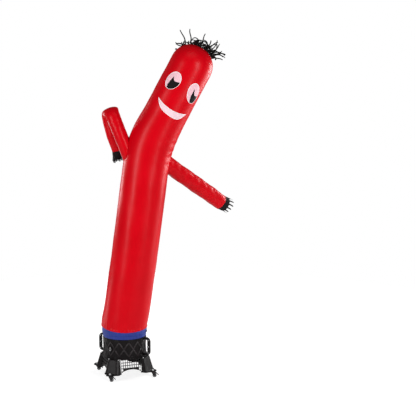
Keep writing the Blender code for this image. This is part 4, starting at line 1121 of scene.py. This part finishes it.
#    node, material, rounding of its edges
ROUNDED = (
    ("blower_drum", PLASTIC, 0.0010),
    ("handle_right", GRIP, 0.0016),
    ("handle_left", GRIP, 0.0016),
    ("switch_housing", PLASTIC, 0.0010),
    ("switch_rocker", GRIP, 0.0006),
    ("belt_toggle", PLASTIC, 0.0010),
)
LEG_PARTS = (
    ("leg", PLASTIC, 0.0015),
    ("grille", PLASTIC, 0.0),
    ("caster_fork", STEEL, 0.0005),
    ("caster_wheel", RUBBER, 0.0008),
    ("brake_pedal", STEEL, 0.0005),
)

rib_crowns()
small_metal()
for node, material, bevel in ROUNDED:
    dressed(node, material, bevel)
for name in LEGS:
    for part, material, bevel in LEG_PARTS:
        dressed(f"{part}_{name}", material, bevel)


# ---- stage, light and camera


def stage_floor():
    """A pale floor, white away from the object, that lights it only a little."""
    material, tree, shader, place = material_nodes("pale_floor")
    cloud = noise_of(tree, place, 0.8, 2.0, 0.5)
    far = node_of(tree, "ShaderNodeVectorMath", {0: place}, operation="LENGTH")
    glow = node_of(tree, "ShaderNodeMapRange", {
        "Value": far.outputs["Value"], "From Min": 0.5, "From Max": 3.0, "To Min": 0.72},
        interpolation_type="SMOOTHSTEP")
    rays = node_of(tree, "ShaderNodeLightPath", {})
    seen = range_of(tree, rays.outputs["Is Camera Ray"], 0.25, 1.0)
    feed(tree, shader, {
        "Base Color": ramp_of(tree, cloud, (0.3, (0.50,) * 3), (0.7, (0.53,) * 3)),
        "Roughness": 0.9,
        "Specular IOR Level": 0.0,
        "Emission Strength": math_of(tree, "MULTIPLY", glow.outputs["Result"], seen),
        "Emission Color": (1, 1, 1, 1),
    })
    mesh = bpy.data.meshes.new("floor")
    rim = [polar(FLOOR_RADIUS, 360 * k / FLOOR_SIDES, 0) for k in range(FLOOR_SIDES)]
    mesh.from_pydata(rim, [], [range(FLOOR_SIDES)])
    mesh.materials.append(material)
    floor = placed("floor", mesh)
    floor.location.z = -0.001


def light(name, azimuth, distance, height, size, power, aim):
    """A soft box. Azimuth 0 is the camera's side and 90 the picture's right."""
    data = bpy.data.lights.new(name, "AREA")
    data.shape = "RECTANGLE"
    data.size, data.size_y = size
    data.energy = power
    lamp = placed(name, data)
    a = radians(azimuth)
    lamp.location = (distance * sin(a), -distance * cos(a), height)
    way = Vector((0, 0, aim)) - lamp.location
    lamp.rotation_mode = "QUATERNION"
    lamp.rotation_quaternion = way.to_track_quat("-Z", "Y")


def make_camera():
    data = bpy.data.cameras.new("camera")
    data.sensor_width = SENSOR
    data.lens = FOCAL_PIXELS / PICTURE_PIXELS * SENSOR
    data.clip_end = 200
    camera = placed("camera", data)
    camera.location = np.array(CAMERA_PLACE) + SHIFT
    camera.rotation_euler = (radians(90 - CAMERA_DOWN), 0, 0)
    bpy.context.scene.camera = camera


def make_world():
    """White where the camera sees it, and a weak fill light on the object."""
    world = bpy.data.worlds.new("studio")
    world.use_nodes = True
    tree = world.node_tree
    seen = tree.nodes["Background"]
    feed(tree, seen, {"Color": (1, 1, 1, 1), "Strength": 1.0})
    fill = node_of(tree, "ShaderNodeBackground", {"Color": (1, 1, 1, 1), "Strength": WORLD_FILL})
    rays = node_of(tree, "ShaderNodeLightPath", {})
    mix = node_of(tree, "ShaderNodeMixShader", {
        "Fac": rays.outputs["Is Camera Ray"],
        1: fill.outputs["Background"],
        2: seen.outputs["Background"],
    })
    feed(tree, tree.nodes["World Output"], {"Surface": mix.outputs["Shader"]})
    SCENE.world = world


stage_floor()
for row in LIGHTS:
    light(*row)
make_camera()
make_world()
SCENE.view_settings.view_transform = "Standard"
SCENE.view_settings.look = "None"
